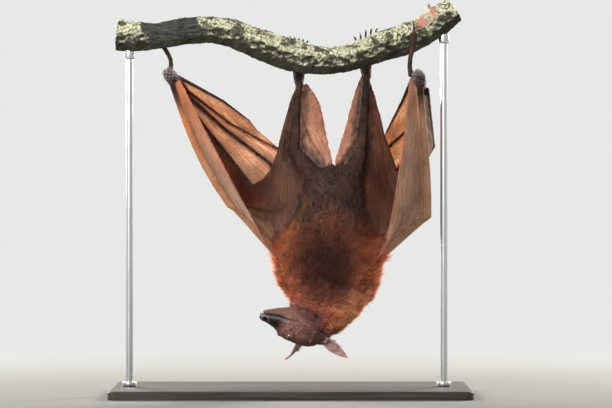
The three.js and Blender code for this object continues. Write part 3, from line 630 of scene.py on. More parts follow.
# %% [markdown]
# ## A short way to write node trees
# A material is a tree of nodes. These helpers add a node, set or link its inputs, and give back its
# output, so that a finish can be read from the inside out like a formula.
# %% Node helpers
def feed(tree, node, inputs):
    """Inputs are pairs: a socket's name or number, and a value or another node's output."""
    for key, value in inputs:
        if isinstance(value, bpy.types.NodeSocket):
            tree.links.new(value, node.inputs[key])
        else:
            node.inputs[key].default_value = value
    return node


def put(tree, kind, inputs=(), **settings):
    """Adds a node with these inputs and settings."""
    node = tree.nodes.new("ShaderNode" + kind)
    for key, value in settings.items():
        setattr(node, key, value)
    return feed(tree, node, inputs)


def mark(tree, name, vector=False):
    """A mark that the mesh carries."""
    node = put(tree, "Attribute", attribute_name=name)
    return node.outputs["Vector" if vector else "Fac"]


def place(tree):
    return put(tree, "TexCoord").outputs["Object"]


def times(tree, a, b):
    return put(tree, "Math", [(0, a), (1, b)], operation="MULTIPLY").outputs[0]


def plus(tree, a, b):
    return put(tree, "Math", [(0, a), (1, b)], operation="ADD").outputs[0]


def minus(tree, a, b):
    return put(tree, "Math", [(0, a), (1, b)], operation="SUBTRACT").outputs[0]


def stretch(tree, vector, scale):
    """A vector with each of its axes scaled."""
    return put(tree, "Mapping", [("Vector", vector), ("Scale", scale)]).outputs[0]


def noise(tree, vector, scale, detail=3.0, distortion=0.0):
    inputs = [("Vector", vector), ("Scale", scale), ("Detail", detail), ("Distortion", distortion)]
    return put(tree, "TexNoise", inputs).outputs[0]


def spread(tree, value, low, high, to_low=0.0, to_high=1.0):
    """Stretches a value between two limits and clamps it."""
    inputs = [("Value", value), ("From Min", low), ("From Max", high),
              ("To Min", to_low), ("To Max", to_high)]
    return put(tree, "MapRange", inputs).outputs[0]


def cracks(tree, vector, scale):
    """A net of lines: the distance to the nearest edge of a Voronoi cell."""
    inputs = [("Vector", vector), ("Scale", scale)]
    return put(tree, "TexVoronoi", inputs, feature="DISTANCE_TO_EDGE").outputs[0]


def mixed(tree, share, a, b, how="MIX"):
    """Two colours mixed by a share."""
    node = put(tree, "Mix", [(0, share), (6, a), (7, b)], data_type="RGBA", blend_type=how)
    return node.outputs[2]


def colour(red, green, blue):
    return (red, green, blue, 1.0)


def new_group(name, inputs, outputs):
    """An empty node group with named sockets: its tree, its inputs and its output node."""
    tree = bpy.data.node_groups.new(name, "ShaderNodeTree")
    for socket, kind in inputs:
        tree.interface.new_socket(socket, in_out="INPUT", socket_type="NodeSocket" + kind)
    for socket, kind in outputs:
        tree.interface.new_socket(socket, in_out="OUTPUT", socket_type="NodeSocket" + kind)
    return tree, tree.nodes.new("NodeGroupInput").outputs, tree.nodes.new("NodeGroupOutput")


def use_group(tree, group, **inputs):
    """Places a group in a material and gives back its outputs."""
    return feed(tree, put(tree, "Group", node_tree=group), inputs.items()).outputs


def new_material(name):
    """A new material and its tree, with no nodes in it."""
    material = bpy.data.materials.new(name)
    material.use_nodes = True
    material.node_tree.nodes.clear()
    return material, material.node_tree


def surfaced(material, shader):
    """Makes a shader the surface of its material."""
    feed(material.node_tree, put(material.node_tree, "OutputMaterial"), [(0, shader.outputs[0])])
    return material


def blended(tree, share, a, b):
    """Two shaders mixed by a share."""
    return put(tree, "MixShader", [(0, share), (1, a.outputs[0]), (2, b.outputs[0])])


def bumped(tree, height, distance, strength=1.0):
    """A normal from a height."""
    inputs = [("Height", height), ("Distance", distance), ("Strength", strength)]
    return put(tree, "Bump", inputs).outputs[0]


def wear(piece, *materials):
    """Gives a piece its materials."""
    piece.data.materials.clear()
    for material in materials:
        piece.data.materials.append(material)


# %% [markdown]
# ## Colours of the coat
# The coat is dark mauve-brown on the belly and back, rufous on the ruff with a darker chest, and maroon
# on the face. Each hair is dark at its root and light at its tip. The colours sit in one node group. The
# skin uses it for the roots, and the tufts use it along their length.
# Backlight on the nape is painted into these colours as a glow, and a golden highlight is painted down the
# left flank.
# %% Coat colour group
def coat_colours():
    numbers = [(name, "Float") for name in ("Ruff", "Dark", "Face", "Gold", "Nape", "Tip", "Lock")]
    tree, given, output = new_group("coat_colours", [("Place", "Vector")] + numbers, [("Color", "Color")])
    patches = spread(tree, noise(tree, given["Place"], 40.0), 0.35, 0.65)
    belly_tip = mixed(tree, patches, colour(0.100, 0.041, 0.035), colour(0.210, 0.086, 0.066))
    ruff_tip = mixed(tree, patches, colour(0.68, 0.185, 0.110), colour(1.0, 0.350, 0.205))
    # Nape: a glow of backlight painted into the tips, and below into the roots.
    ruff_tip = mixed(tree, given["Nape"], ruff_tip, colour(1.0, 0.560, 0.330))
    dark_tip = mixed(tree, patches, colour(0.048, 0.014, 0.015), colour(0.165, 0.046, 0.043))
    face_tip = mixed(tree, patches, colour(0.34, 0.145, 0.130), colour(0.74, 0.345, 0.305))
    tip = mixed(tree, given["Ruff"], belly_tip, ruff_tip)
    tip = mixed(tree, times(tree, given["Dark"], 0.92), tip, dark_tip)
    tip = mixed(tree, given["Face"], tip, face_tip)
    # Painted golden highlight down the left flank.
    tip = mixed(tree, given["Gold"], tip, colour(0.92, 0.43, 0.08))
    root = mixed(tree, given["Ruff"], colour(0.022, 0.010, 0.008), colour(0.150, 0.040, 0.020))
    root = mixed(tree, given["Dark"], root, colour(0.018, 0.007, 0.006))
    root = mixed(tree, given["Face"], root, colour(0.130, 0.054, 0.050))
    root = mixed(tree, given["Nape"], root, colour(0.60, 0.260, 0.150))
    hair = mixed(tree, given["Tip"], root, tip)
    tone = spread(tree, given["Lock"], 0.0, 1.0, 0.42, 1.4)
    shade = put(tree, "CombineColor", [(0, tone), (1, tone), (2, tone)]).outputs[0]
    shaded = mixed(tree, 1.0, hair, shade, "MULTIPLY")
    # A bright wash over the nape: painted backlight.
    sunlit = times(tree, given["Nape"], 0.38)
    tree.links.new(mixed(tree, sunlit, shaded, colour(1.0, 0.50, 0.28)), output.inputs["Color"])
    return tree


COAT_COLOURS = coat_colours()


def coat_colour_in(tree, tip, lock):
    """The group, fed with the marks that both skin and tufts carry."""
    marks = {name: mark(tree, name.lower()) for name in ("Ruff", "Dark", "Face", "Gold", "Nape")}
    return use_group(tree, COAT_COLOURS, Place=place(tree), Tip=tip, Lock=lock, **marks)["Color"]


# %% [markdown]
# ## Colours of the wings
# A wing membrane is two layers of skin with little between them but blood vessels and elastic threads. By
# the body it is dark brown, its own colour, with fine dark threads that follow the pleats. Light shining
# through from behind is painted into the colour: orange above and beige below in front of the arm, tan
# between the fingers, glowing patches in the dark parts and a red glow along lit edges. Near the legs
# shade is painted darker. Forearms share these colours, so they have a group of their own too.
# %% Wing colour group
def wing_colours():
    inputs = [("Place", "Vector"), ("Fan", "Vector")]
    inputs += [(name, "Float") for name in ("Tone", "Rim", "Cord", "Dusk")]
    tree, given, output = new_group("wing_colours", inputs, [("Color", "Color"), ("Height", "Float")])
    at = given["Place"]
    x, _, height = put(tree, "SeparateXYZ", [(0, at)]).outputs
    threads = noise(tree, stretch(tree, given["Fan"], (1300, 16, 1)), 1.0, 3.0, 0.2)
    fine = noise(tree, stretch(tree, given["Fan"], (4200, 90, 1)), 1.0, 2.0)
    cloud = spread(tree, noise(tree, at, 24.0, 4.0), 0.30, 0.70)
    net = cracks(tree, at, 330.0)
    dark = mixed(tree, cloud, colour(0.042, 0.024, 0.017), colour(0.120, 0.062, 0.040))
    glowing = spread(tree, noise(tree, at, 33.0, 2.0), 0.56, 0.74, 0.0, 0.5)
    dark = mixed(tree, glowing, dark, colour(0.230, 0.105, 0.050))
    beige = mixed(tree, cloud, colour(0.43, 0.240, 0.155), colour(0.70, 0.440, 0.290))
    orange = mixed(tree, cloud, colour(0.66, 0.265, 0.120), colour(0.95, 0.470, 0.235))
    # Painted glow of light shining through from behind: orange high up on the left, beige lower down, tan
    # between the fingers.
    warm = times(tree, spread(tree, height, 0.315, 0.41), spread(tree, x, 0.10, 0.06))
    light = mixed(tree, warm, beige, orange)
    tan = mixed(tree, cloud, colour(0.60, 0.400, 0.290), colour(0.88, 0.650, 0.510))
    light = mixed(tree, spread(tree, given["Tone"], 0.995, 0.95), light, tan)
    base = mixed(tree, given["Tone"], dark, light)
    vein = colour(0.055, 0.022, 0.015)
    base = mixed(tree, spread(tree, threads, 0.60, 0.42, 0.0, 0.42), base, vein)
    base = mixed(tree, spread(tree, net, 0.12, 0.0, 0.0, 0.20), base, vein)
    blots = spread(tree, noise(tree, at, 210.0, 3.0), 0.54, 0.70, 0.0, 0.40)
    base = mixed(tree, blots, base, colour(0.11, 0.043, 0.024))
    # Painted shade near the legs, with a ragged edge.
    ragged = spread(tree, noise(tree, at, 95.0, 3.0), 0.3, 0.7, -0.3, 0.3)
    edge_of_dusk = plus(tree, given["Dusk"], ragged)
    base = mixed(tree, spread(tree, edge_of_dusk, 0.25, 1.0, 0.0, 0.85), base, colour(0.040, 0.022, 0.017))
    base = mixed(tree, times(tree, given["Cord"], 0.85), base, vein)
    # Edges: dark on the dark membrane, and a painted red glow where light shines through.
    rim_colour = mixed(tree, given["Tone"], colour(0.030, 0.016, 0.012), colour(0.50, 0.115, 0.080))
    base = mixed(tree, times(tree, given["Rim"], 0.75), base, rim_colour)
    tree.links.new(base, output.inputs["Color"])
    relief = plus(tree, threads, times(tree, fine, 0.4))
    tree.links.new(plus(tree, relief, net), output.inputs["Height"])
    return tree


WING_COLOURS = wing_colours()


def wing_colour_in(tree):
    """The group's colour and height, fed with the skin's marks."""
    marks = {name: mark(tree, name.lower()) for name in ("Tone", "Rim", "Cord", "Dusk")}
    return use_group(tree, WING_COLOURS, Place=place(tree), Fan=mark(tree, "fan", True), **marks)


# %% [markdown]
# ## Skin finish
# Bare skin is dark, faintly purple leather with fine creases. On the face, short hair lies so flat that
# it is best made as streaks in the colour and bump, drawn out from the nose to the nape. Under the longer
# coat of the body the same streaks are darker. The muzzle is nearly bare, greyish and a little moist.
# %% Skin material
def skin_material():
    material, tree = new_material("bat_skin")
    at = place(tree)
    creases = cracks(tree, at, 620.0)
    mottle = spread(tree, noise(tree, at, 60.0, 4.0), 0.35, 0.65)
    bare = mixed(tree, mottle, colour(0.017, 0.010, 0.008), colour(0.066, 0.033, 0.024))
    head_place = mark(tree, "head_place", True)
    streaks = noise(tree, stretch(tree, head_place, (120, 800, 800)), 1.0, 3.0, 0.5)
    hair = coat_colour_in(tree, spread(tree, streaks, 0.42, 0.68, 0.1, 1.0), streaks)
    under_coat = mixed(tree, 1.0, hair, colour(0.55, 0.50, 0.48), "MULTIPLY")
    hair = mixed(tree, mark(tree, "face"), under_coat, hair)
    base = mixed(tree, mark(tree, "furred"), bare, hair)
    muzzle = mixed(tree, mottle, colour(0.009, 0.007, 0.007), colour(0.035, 0.026, 0.024))
    base = mixed(tree, mark(tree, "muzzle"), base, muzzle)
    jaw_tint = mixed(tree, streaks, colour(0.10, 0.050, 0.036), colour(0.34, 0.190, 0.130))
    base = mixed(tree, times(tree, mark(tree, "jaw"), 0.8), base, jaw_tint)
    flush = spread(tree, noise(tree, stretch(tree, head_place, (45, 110, 45)), 1.0, 2.0), 0.3, 0.72)
    inner_ear = mixed(tree, flush, colour(0.22, 0.105, 0.095), colour(0.62, 0.425, 0.390))
    base = mixed(tree, times(tree, mark(tree, "ear"), 0.85), base, inner_ear)
    # Pale: lighter lid edges, with painted highlights on the nostril rims and a painted sheen along the lip.
    base = mixed(tree, times(tree, mark(tree, "pale"), 0.7), base, colour(0.40, 0.33, 0.38))
    base = mixed(tree, times(tree, mark(tree, "shadow"), 0.95), base, colour(0.006, 0.004, 0.004))
    wing = wing_colour_in(tree)
    # The fronts of the arms take the wing colours, painted glow included, made warmer.
    arm = mixed(tree, 1.0, wing["Color"], colour(1.15, 0.88, 0.68), "MULTIPLY")
    base = mixed(tree, mark(tree, "arm_sheet"), base, arm)
    rough = spread(tree, mark(tree, "muzzle"), 0.0, 1.0, 0.68, 0.44)
    rough = minus(tree, rough, times(tree, mottle, 0.08))
    gloss = spread(tree, mark(tree, "muzzle"), 0.0, 1.0, 0.12, 0.34)
    height = plus(tree, times(tree, creases, 0.5), times(tree, streaks, 0.8))
    shader = put(tree, "BsdfPrincipled", [("Base Color", base), ("Roughness", rough),
                                          ("Normal", bumped(tree, height, 0.5 * MM, 0.8)),
                                          ("Specular IOR Level", gloss)])
    return surfaced(material, shader)


# %% [markdown]
# ## Wing finish
# Held against the light a membrane glows orange. So its shader is a mix: half of an ordinary surface,
# half of a translucent one that passes light from behind.
# %% Wing material
def wing_material():
    material, tree = new_material("wing_membrane")
    wing = wing_colour_in(tree)
    glow_tint = mixed(tree, mark(tree, "tone"), colour(2.0, 1.30, 0.90), colour(1.4, 1.40, 1.3))
    glow = mixed(tree, 1.0, wing["Color"], glow_tint, "MULTIPLY")
    normal = bumped(tree, wing["Height"], 0.5 * MM, 0.8)
    surface = put(tree, "BsdfPrincipled", [("Base Color", wing["Color"]), ("Normal", normal),
                                           ("Roughness", 0.46), ("Specular IOR Level", 0.32),
                                           ("Sheen Weight", 0.05)])
    through = put(tree, "BsdfTranslucent", [("Color", glow), ("Normal", normal)])
    return surfaced(material, blended(tree, 0.5, surface, through))


wear(skin, skin_material(), wing_material())
corners = np.empty(len(skin.data.loops), np.int32)
skin.data.loops.foreach_get("vertex_index", corners)
triangles = corners.reshape(-1, 3)
wing_faces = web[triangles].sum(axis=1) >= 2
skin.data.polygons.foreach_set("material_index", wing_faces.astype(np.int32))
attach(skin, "root")
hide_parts(*FLESH)
print("skin finished,", int(wing_faces.sum()), "of its faces are wing")

# %% [markdown]
# ## How a tuft is made
# A tuft is a thin three-sided lock. It rises from the skin, bends over and lies along the body. All tufts
# of a piece are computed together as arrays: first the roots, scattered evenly over the skin, then the
# lie at each root, then the rings of points from root to tip. Tips lean towards the middle of their
# clump, and that makes the coat woolly.
# %% Unwrap the skin and list its triangles
chart = bpy.data.objects.new("chart", skin.data.copy())
bpy.context.collection.objects.link(chart)
in_edit_mode(chart, lambda: bpy.ops.uv.smart_project(angle_limit=math.radians(66), island_margin=0.002))
loops = np.empty(len(chart.data.loops) * 2, np.float32)
chart.data.uv_layers.active.data.foreach_get("uv", loops)
chart_uv = loops.reshape(-1, 3, 2)
bpy.data.objects.remove(chart)
tri_points = skin_points[triangles]
tri_cross = np.cross(tri_points[:, 1] - tri_points[:, 0], tri_points[:, 2] - tri_points[:, 0])
tri_area = np.linalg.norm(tri_cross, axis=1) / 2
tri_centre = tri_points.mean(axis=1)
tri_owner = owner[triangles[:, 0]]
print("skin area", round(tri_area.sum(), 3), "square metres")


# %% Scatter roots
def scatter(weight, count):
    """Random places on the skin, more where the weight is greater: points, normals and chart places."""
    share = np.cumsum(weight * tri_area)
    chosen = np.searchsorted(share, chance.random(count) * share[-1])
    a, b = chance.random(count), chance.random(count)
    over = a + b > 1
    a[over], b[over] = 1 - a[over], 1 - b[over]
    mix = np.column_stack([1 - a - b, a, b])
    points = (tri_points[chosen] * mix[:, :, None]).sum(axis=1)
    normals = (skin_normals[triangles[chosen]] * mix[:, :, None]).sum(axis=1)
    uvs = (chart_uv[chosen] * mix[:, :, None]).sum(axis=1)
    return points, unit(normals), uvs


def unit(vectors):
    return vectors / np.maximum(np.linalg.norm(vectors, axis=1), 1e-9)[:, None]


FULL_TURN = 6.3  # radians, near enough


def wander(points, size, seed):
    """A smooth random number from -1 to 1 that changes over the given size."""
    draws = np.random.default_rng(seed)
    total = np.zeros(len(points))
    for _ in range(5):
        wave = unit(draws.normal(size=(1, 3)))[0] * FULL_TURN / size
        total += np.sin(points @ wave + draws.random() * FULL_TURN)
    return total / 3


# %% Grow the tufts
LONG = ((0.0, 0.75), (0.38, 1.0), (0.74, 0.62))  # rings of points along a tuft: share of length, and width
SHORT = ((0.0, 0.8), (0.5, 0.9))
SECTION = np.array([[-1.0, -0.25], [1.0, -0.25], [0.0, 0.55]])  # across and up, in half widths
PATCH = 0.003  # the size of a tuft's patch on the chart
ROOT_DEPTH = 0.4 * MM  # how far under the skin a tuft starts


def clumped(points, size):
    """For each root, the offset to the middle of its clump, in a grid of the given size.

    Large odd numbers scramble a cell's place into jitter that looks random and is always the same.
    """
    cell = np.floor(points / size)
    jitter = np.sin(cell @ np.array([[12.9, 78.2, 37.7], [39.3, 11.1, 83.2], [73.1, 52.2, 9.2]]) * 43.7)
    return (cell + 0.5 + 0.42 * jitter) * size - points


def lock_tone(points, size):
    """A number from 0 to 1 that all tufts of a clump share, scrambled from the place of their cell."""
    cell = np.floor(points / size)
    return np.modf(np.abs(np.sin(cell @ np.array([127.1, 311.7, 74.7])) * 437.58))[0]


def tuft_rings(shape, roots, normals, lie, length, width, lift, clump_size, clumping, curl):
    """The points of every tuft, as an array of tufts by points by axes."""
    side = unit(np.cross(lie, normals))
    middle = clumped(roots, clump_size)
    middle -= normals * (middle * normals).sum(axis=1)[:, None]
    bend = chance.normal(0, curl, len(roots))
    rings = []
    for t, ring_width in shape:
        path = spine(t, roots, normals, lie, side, middle, length, lift, clumping, bend)
        for across, up in SECTION:
            offset = side * across + normals * up
            rings.append(path + offset * (width * ring_width / 2)[:, None])
    rings.append(spine(1.0, roots, normals, lie, side, middle, length, lift, clumping, bend))
    return np.stack(rings, axis=1)


def spine(t, roots, normals, lie, side, middle, length, lift, clumping, bend):
    """The middle of every tuft at one share of its length: it rises first, then bends over."""
    rise = np.sin(lift) * (1.5 * t - 0.7 * t * t)
    run = np.cos(lift) * t + 0.25 * np.sin(lift) * t * t
    sway = bend * t * t
    path = roots - normals * ROOT_DEPTH + (lie * run[:, None] + normals * rise[:, None]) * length[:, None]
    return path + side * (sway * length)[:, None] + middle * (clumping * t ** 1.5)


def tuft_faces(count, ring_count):
    """Corner numbers: a cap at the root, bands of quads between rings, and three triangles to the tip."""
    per_tuft = 3 * ring_count + 1
    quads = []
    for ring in range(ring_count - 1):
        for k in range(3):
            a, b = ring * 3 + k, ring * 3 + (k + 1) % 3
            quads.append([a, b, b + 3, a + 3])
    last = 3 * (ring_count - 1)
    tips = [[last + k, last + (k + 1) % 3, last + 3] for k in range(3)]
    caps = [[2, 1, 0]]
    shift = (np.arange(count) * per_tuft)[:, None, None]
    quads, triangles = np.array(quads)[None] + shift, np.array(tips + caps)[None] + shift
    return quads.reshape(-1, 4), triangles.reshape(-1, 3)


def mesh_of_tufts(name, shape, rings, uvs, locks):
    """One mesh from the arrays, with its marks and its map."""
    count, per_tuft, _ = rings.shape
    quads, tris = tuft_faces(count, len(shape))
    mesh = bpy.data.meshes.new(name)
    mesh.vertices.add(count * per_tuft)
    mesh.vertices.foreach_set("co", rings.astype(np.float32).ravel())
    corner = np.concatenate([quads.ravel(), tris.ravel()])
    sizes = np.concatenate([np.full(len(quads), 4), np.full(len(tris), 3)])
    mesh.loops.add(len(corner))
    mesh.loops.foreach_set("vertex_index", corner.astype(np.int32))
    mesh.polygons.add(len(sizes))
    mesh.polygons.foreach_set("loop_start", np.concatenate([[0], np.cumsum(sizes)[:-1]]).astype(np.int32))
    mesh.update(calc_edges=True)
    piece = bpy.data.objects.new(name, mesh)
    bpy.context.collection.objects.link(piece)
    along = np.append(np.repeat([t for t, _ in shape], 3), 1.0)
    across = np.append(np.tile([0.0, 1.0, 0.5], len(shape)), 0.5)
    patch = np.column_stack([across, along]) * PATCH - PATCH / 2
    layer = mesh.uv_layers.new(name="OFBake")
    spots = (uvs[:, None] + patch[None]).reshape(-1, 2)[corner]
    layer.data.foreach_set("uv", spots.astype(np.float32).ravel())
    put_mark(piece, "tip", np.tile(along, count))
    put_mark(piece, "lock", np.repeat(locks, per_tuft))
    for key, values in coat_marks(rings[:, 0]).items():
        put_mark(piece, key, np.repeat(values, per_tuft))
    only(piece)
    bpy.ops.object.shade_smooth()
    return piece


# %% [markdown]
# ## Which way the coat lies
# Hair lies from the nose to the rump and out along the limbs. A rule for each region gives a rough
# direction. It is pressed flat onto the skin, and turned a little this way and that, in whorls.
# %% The lie of the coat
BODY, RUFF, FACE = "body", "ruff", "face"


def limb_line(start, end):
    """The direction from the middle of one solid to the middle of another."""
    return np.array((middle_of(end) - middle_of(start)).normalized())


def lie_at(points, normals, region, turn):
    """The lie at each root, along the skin."""
    outward = unit((points - [BODY_X, 10 * MM, 0]) * [1, 1, 0])
    if region is FACE:
        flow = np.tile(-HEAD_AXES[:, 0], (len(points), 1)) + 0.25 * normals
    elif region is RUFF:
        flow = [0, 0, 0.6] + 0.85 * outward
    elif region is BODY:
        flow = [0, 0, 1.0] + 0.45 * outward
    else:
        flow = np.tile(region, (len(points), 1))
    flat = unit(flow - normals * (flow * normals).sum(axis=1)[:, None])
    angle = turn * wander(points, 18 * MM, 3) + 0.6 * turn * wander(points, 6 * MM, 4)
    side = np.cross(normals, flat)
    return unit(flat * np.cos(angle)[:, None] + side * np.sin(angle)[:, None])


# %% Coat materials
def coat_material(name, through_share):
    """Hair that is dark at its roots, and lets some light through at its tips."""
    material, tree = new_material(name)
    tip = spread(tree, mark(tree, "tip"), 0.12, 0.95)
    base = coat_colour_in(tree, tip, mark(tree, "lock"))
    surface = put(tree, "BsdfPrincipled", [("Base Color", base), ("Roughness", 0.55), ("Sheen Weight", 0.12),
                                           ("Sheen Roughness", 0.35), ("Sheen Tint", colour(1.0, 0.7, 0.5))])
    golden = times(tree, times(tree, mark(tree, "ruff"), tip), 0.92)
    golden = times(tree, golden, spread(tree, mark(tree, "dark"), 0.0, 1.0, 1.0, 0.25))
    glow = mixed(tree, golden, mixed(tree, 1.0, base, colour(1.5, 1.2, 0.9), "MULTIPLY"),
                 colour(1.0, 0.74, 0.31))
    through = put(tree, "BsdfTranslucent", [("Color", glow)])
    return surfaced(material, blended(tree, times(tree, tip, through_share), surface, through))


def fluff_material():
    """Pale down on the wrists."""
    material, tree = new_material("pale_down")
    base = mixed(tree, mark(tree, "tip"), colour(0.16, 0.12, 0.125), colour(0.50, 0.43, 0.44))
    shader = put(tree, "BsdfPrincipled", [("Base Color", base), ("Roughness", 0.6), ("Sheen Weight", 0.2)])
    return surfaced(material, shader)


WOOL = coat_material("wool", 0.45)
SHORT_HAIR = coat_material("short_hair", 0.2)
GUARD_HAIR = coat_material("guard_hair", 0.9)
DOWN = fluff_material()


# %% Grow one piece of coat
def region_weight(*names):
    wanted = [number for number, node in enumerate(FLESH) if node in names]
    return np.isin(tri_owner, wanted).astype(float)


def coat(name, slot, material, weight, count, region, length, width, lift, clump, clumping, turn, curl,
         shape=LONG):
    """Scatters, grows and finishes a piece of coat. Lengths in millimetres, lift in degrees."""
    roots, normals, uvs = scatter(weight, count)
    lie = lie_at(roots, normals, region, turn)
    varied = (length(roots) if callable(length) else length) * MM * chance.uniform(0.7, 1.15, count)
    widths = width * MM * chance.uniform(0.7, 1.3, count)
    lifts = np.radians(lift) * (1 + 0.35 * wander(roots, 11 * MM, 5)) * chance.uniform(0.7, 1.3, count)
    rings = tuft_rings(shape, roots, normals, lie, varied, widths, lifts, clump * MM, clumping, curl)
    locks = 0.7 * lock_tone(roots, clump * MM) + 0.3 * chance.random(count)
    piece = mesh_of_tufts(name, shape, rings, uvs, locks)
    wear(piece, material)
    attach(piece, "root")
    print(name, count, "tufts")


# %% Body and ruff
front_half = (tri_centre[:, 1] < 12 * MM).astype(float)


def belly_hair(roots):
    """Long on the chest, short between the legs."""
    return 11.5 - 6.0 * smooth_step(roots[:, 2], 0.265, 0.325)


ruff_wool = dict(lift=42, clump=6.5, clumping=0.7, turn=0.75, curl=0.25)
for name, half in (("front", front_half), ("back", 1 - front_half)):
    coat(f"coat_body_{name}", "fur", WOOL, region_weight("trunk") * half, 10500, BODY,
         length=belly_hair, width=1.05, lift=28, clump=6.0, clumping=0.7, turn=0.8, curl=0.25)
    mantle = region_weight("neck") + region_weight("trunk") * (1 - smooth_step(tri_centre[:, 2], *MANTLE))
    coat(f"coat_guard_{name}", "ruff", GUARD_HAIR, mantle * half, 9000, RUFF,
         length=16.0, width=0.42, lift=50, clump=9.0, clumping=0.3, turn=0.6, curl=0.3, shape=SHORT)
neck_left, neck_right = tri_centre[:, 0] < BODY_X, tri_centre[:, 0] >= BODY_X
for name, half in (("left", neck_left), ("right", neck_right)):
    coat(f"coat_ruff_{name}", "ruff", WOOL, region_weight("neck") * front_half * half, 9000, RUFF,
         length=13.0, width=0.85, **ruff_wool)
coat("coat_ruff_back", "ruff", WOOL, region_weight("neck") * (1 - front_half), 11500, RUFF,
     length=13.5, width=1.0, **ruff_wool)

# %% Head
tri_head = in_head(tri_centre)
off_eye = np.minimum(*[np.linalg.norm(tri_head - EYES_IN_HEAD[side], axis=1) for side in SIDES])
head_weight = region_weight("head", "jaw") * smooth_step(off_eye, 7.5, 9.5)
head_weight *= 1 - 0.97 * smooth_step(tri_head[:, 0], 46, 60)
off_foot = np.minimum(*[np.linalg.norm(tri_head - EAR_ROOTS[side][1], axis=1) for side in SIDES])
behind_ear = smooth_step((tri_cross[:, 1] + 0.6 * tri_cross[:, 2]) / (2 * tri_area), 0.0, 0.4)
ear_foot = region_weight(*EARS) * (1 - smooth_step(off_foot, 14, 24)) * behind_ear


def head_hair(roots):
    """Short on the face, longer towards the nape."""
    return 2.6 + 5.2 * (1 - smooth_step(in_head(roots)[:, 0], -6, 40))


coat("coat_head", "face", SHORT_HAIR, head_weight + ear_foot, 17000, FACE,
     length=head_hair, width=0.5, lift=16, clump=2.6, clumping=0.45, turn=0.3, curl=0.15, shape=SHORT)

# %% Arms, legs and wrists
limb_wool = dict(clump=4.0, clumping=0.5, turn=0.45, curl=0.2, shape=SHORT)
by_body = 1 - smooth_step(np.abs(tri_centre[:, 0] - BODY_X), *OUT_OF_COAT)
for side in SIDES:
    arm, leg = limb_line(f"upper_arm_{side}", f"forearm_{side}"), limb_line(f"thigh_{side}", f"foot_{side}")
    hand = limb_line(f"hand_{side}", f"thumb_{side}")
    arm_weight, leg_weight = region_weight(f"upper_arm_{side}") * by_body, region_weight(f"thigh_{side}")
    coat(f"coat_arm_{side}", "fur", WOOL, arm_weight, 2600, arm, length=7.5, width=1.0, lift=20,
         **limb_wool)
    coat(f"coat_leg_{side}", "fur", WOOL, leg_weight, 2400, leg, length=4.2, width=0.8, lift=16,
         **limb_wool)
    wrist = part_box(f"hand_{side}")[1].z
    top = smooth_step(tri_centre[:, 2], wrist - 24 * MM, wrist - 8 * MM)
    coat(f"coat_wrist_{side}", "fur", DOWN, region_weight(f"hand_{side}") * top, 1500, hand,
         length=4.2, width=0.3, lift=38, **limb_wool)

# %% [markdown]
# ## Eyes
# Fruit bats see well and have large eyes. Each is a ball with its pole turned along the gaze, so that the
# rings of the sphere are the rings of the iris. Every point carries its slant from the gaze, and the
# finish turns that into pupil, iris, dark rim and white.
# %% Eye material
def eye_material():
    material, tree = new_material("eye")
    slant = mark(tree, "slant")
    spokes = noise(tree, stretch(tree, mark(tree, "spoke", True), (9, 9, 2.2)), 1.0, 4.0)
    iris = mixed(tree, spread(tree, spokes, 0.35, 0.65), colour(0.045, 0.015, 0.006),
                 colour(0.24, 0.090, 0.027))
    white = colour(0.24, 0.19, 0.16)
    dark = colour(0.010, 0.006, 0.004)
    base = mixed(tree, spread(tree, slant, 0.30, 0.36), dark, iris)
    base = mixed(tree, spread(tree, slant, 0.74, 0.82), base, dark)
    base = mixed(tree, spread(tree, slant, 0.86, 0.92), base, white)
    shader = put(tree, "BsdfPrincipled", [("Base Color", base), ("Roughness", 0.22), ("Coat Weight", 1.0),
                                          ("Coat Roughness", 0.03)])
    return surfaced(material, shader)


EYE = eye_material()


def eyeball(side):
    """A ball that looks along the gaze, with the clear front swelling a little."""
    gaze = (HEAD.to_3x3() @ Vector(GAZE[side])).normalized()
    bpy.ops.mesh.primitive_uv_sphere_add(segments=40, ring_count=28, radius=EYE_RADIUS - 0.15 * MM,
                                         location=EYE_CENTRES[side],
                                         rotation=gaze.to_track_quat("Z", "Y").to_euler())
    ball = bpy.context.object
    ball.name = ball.data.name = f"eyeball_{side}"
    bpy.ops.object.transform_apply(location=True, rotation=True, scale=True)
    bpy.ops.object.shade_smooth()
    points = points_of(ball)
    offset = points - np.array(EYE_CENTRES[side])
    slant = np.arccos(np.clip(unit(offset) @ np.array(gaze), -1, 1))
    put_points(ball, points + np.array(gaze) * (0.5 * MM * bump(slant, 0.55))[:, None])
    put_mark(ball, "slant", slant)
    put_mark(ball, "spoke", unit(offset - np.outer(offset @ np.array(gaze), np.array(gaze))) + slant[:, None])
    wear(ball, EYE)
    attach(ball, "root")
    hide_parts(f"eye_{side}")


for side in SIDES:
    eyeball(side)
print("eyes", round(EYE_RADIUS / MM, 1), "mm in radius")

# %% [markdown]
# ## Claws
# The claws are smooth curved horn. The solids have five or six flat sides, so each is welded and rounded
# with one Subdivision Surface.
# %% Claw material
def claw_material():
    material, tree = new_material("claw_horn")
    at = place(tree)
    grain = noise(tree, stretch(tree, at, (900, 900, 60)), 1.0, 3.0)
    base = mixed(tree, spread(tree, grain, 0.35, 0.7), colour(0.014, 0.010, 0.009),
                 colour(0.060, 0.036, 0.028))
    shader = put(tree, "BsdfPrincipled", [("Base Color", base), ("Roughness", 0.28),
                                          ("Normal", bumped(tree, grain, 0.15 * MM, 0.5))])
    return surfaced(material, shader)


CLAW = claw_material()
claws = sorted(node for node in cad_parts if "claw" in node)
for node in claws:
    horn = copy_of(f"horn_{node}", node)
    apply(horn, "SUBSURF", levels=1, render_levels=1)
    bpy.ops.object.shade_smooth()
    wear(horn, CLAW)
    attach(horn, "root")
    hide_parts(node)
print(len(claws), "claws")

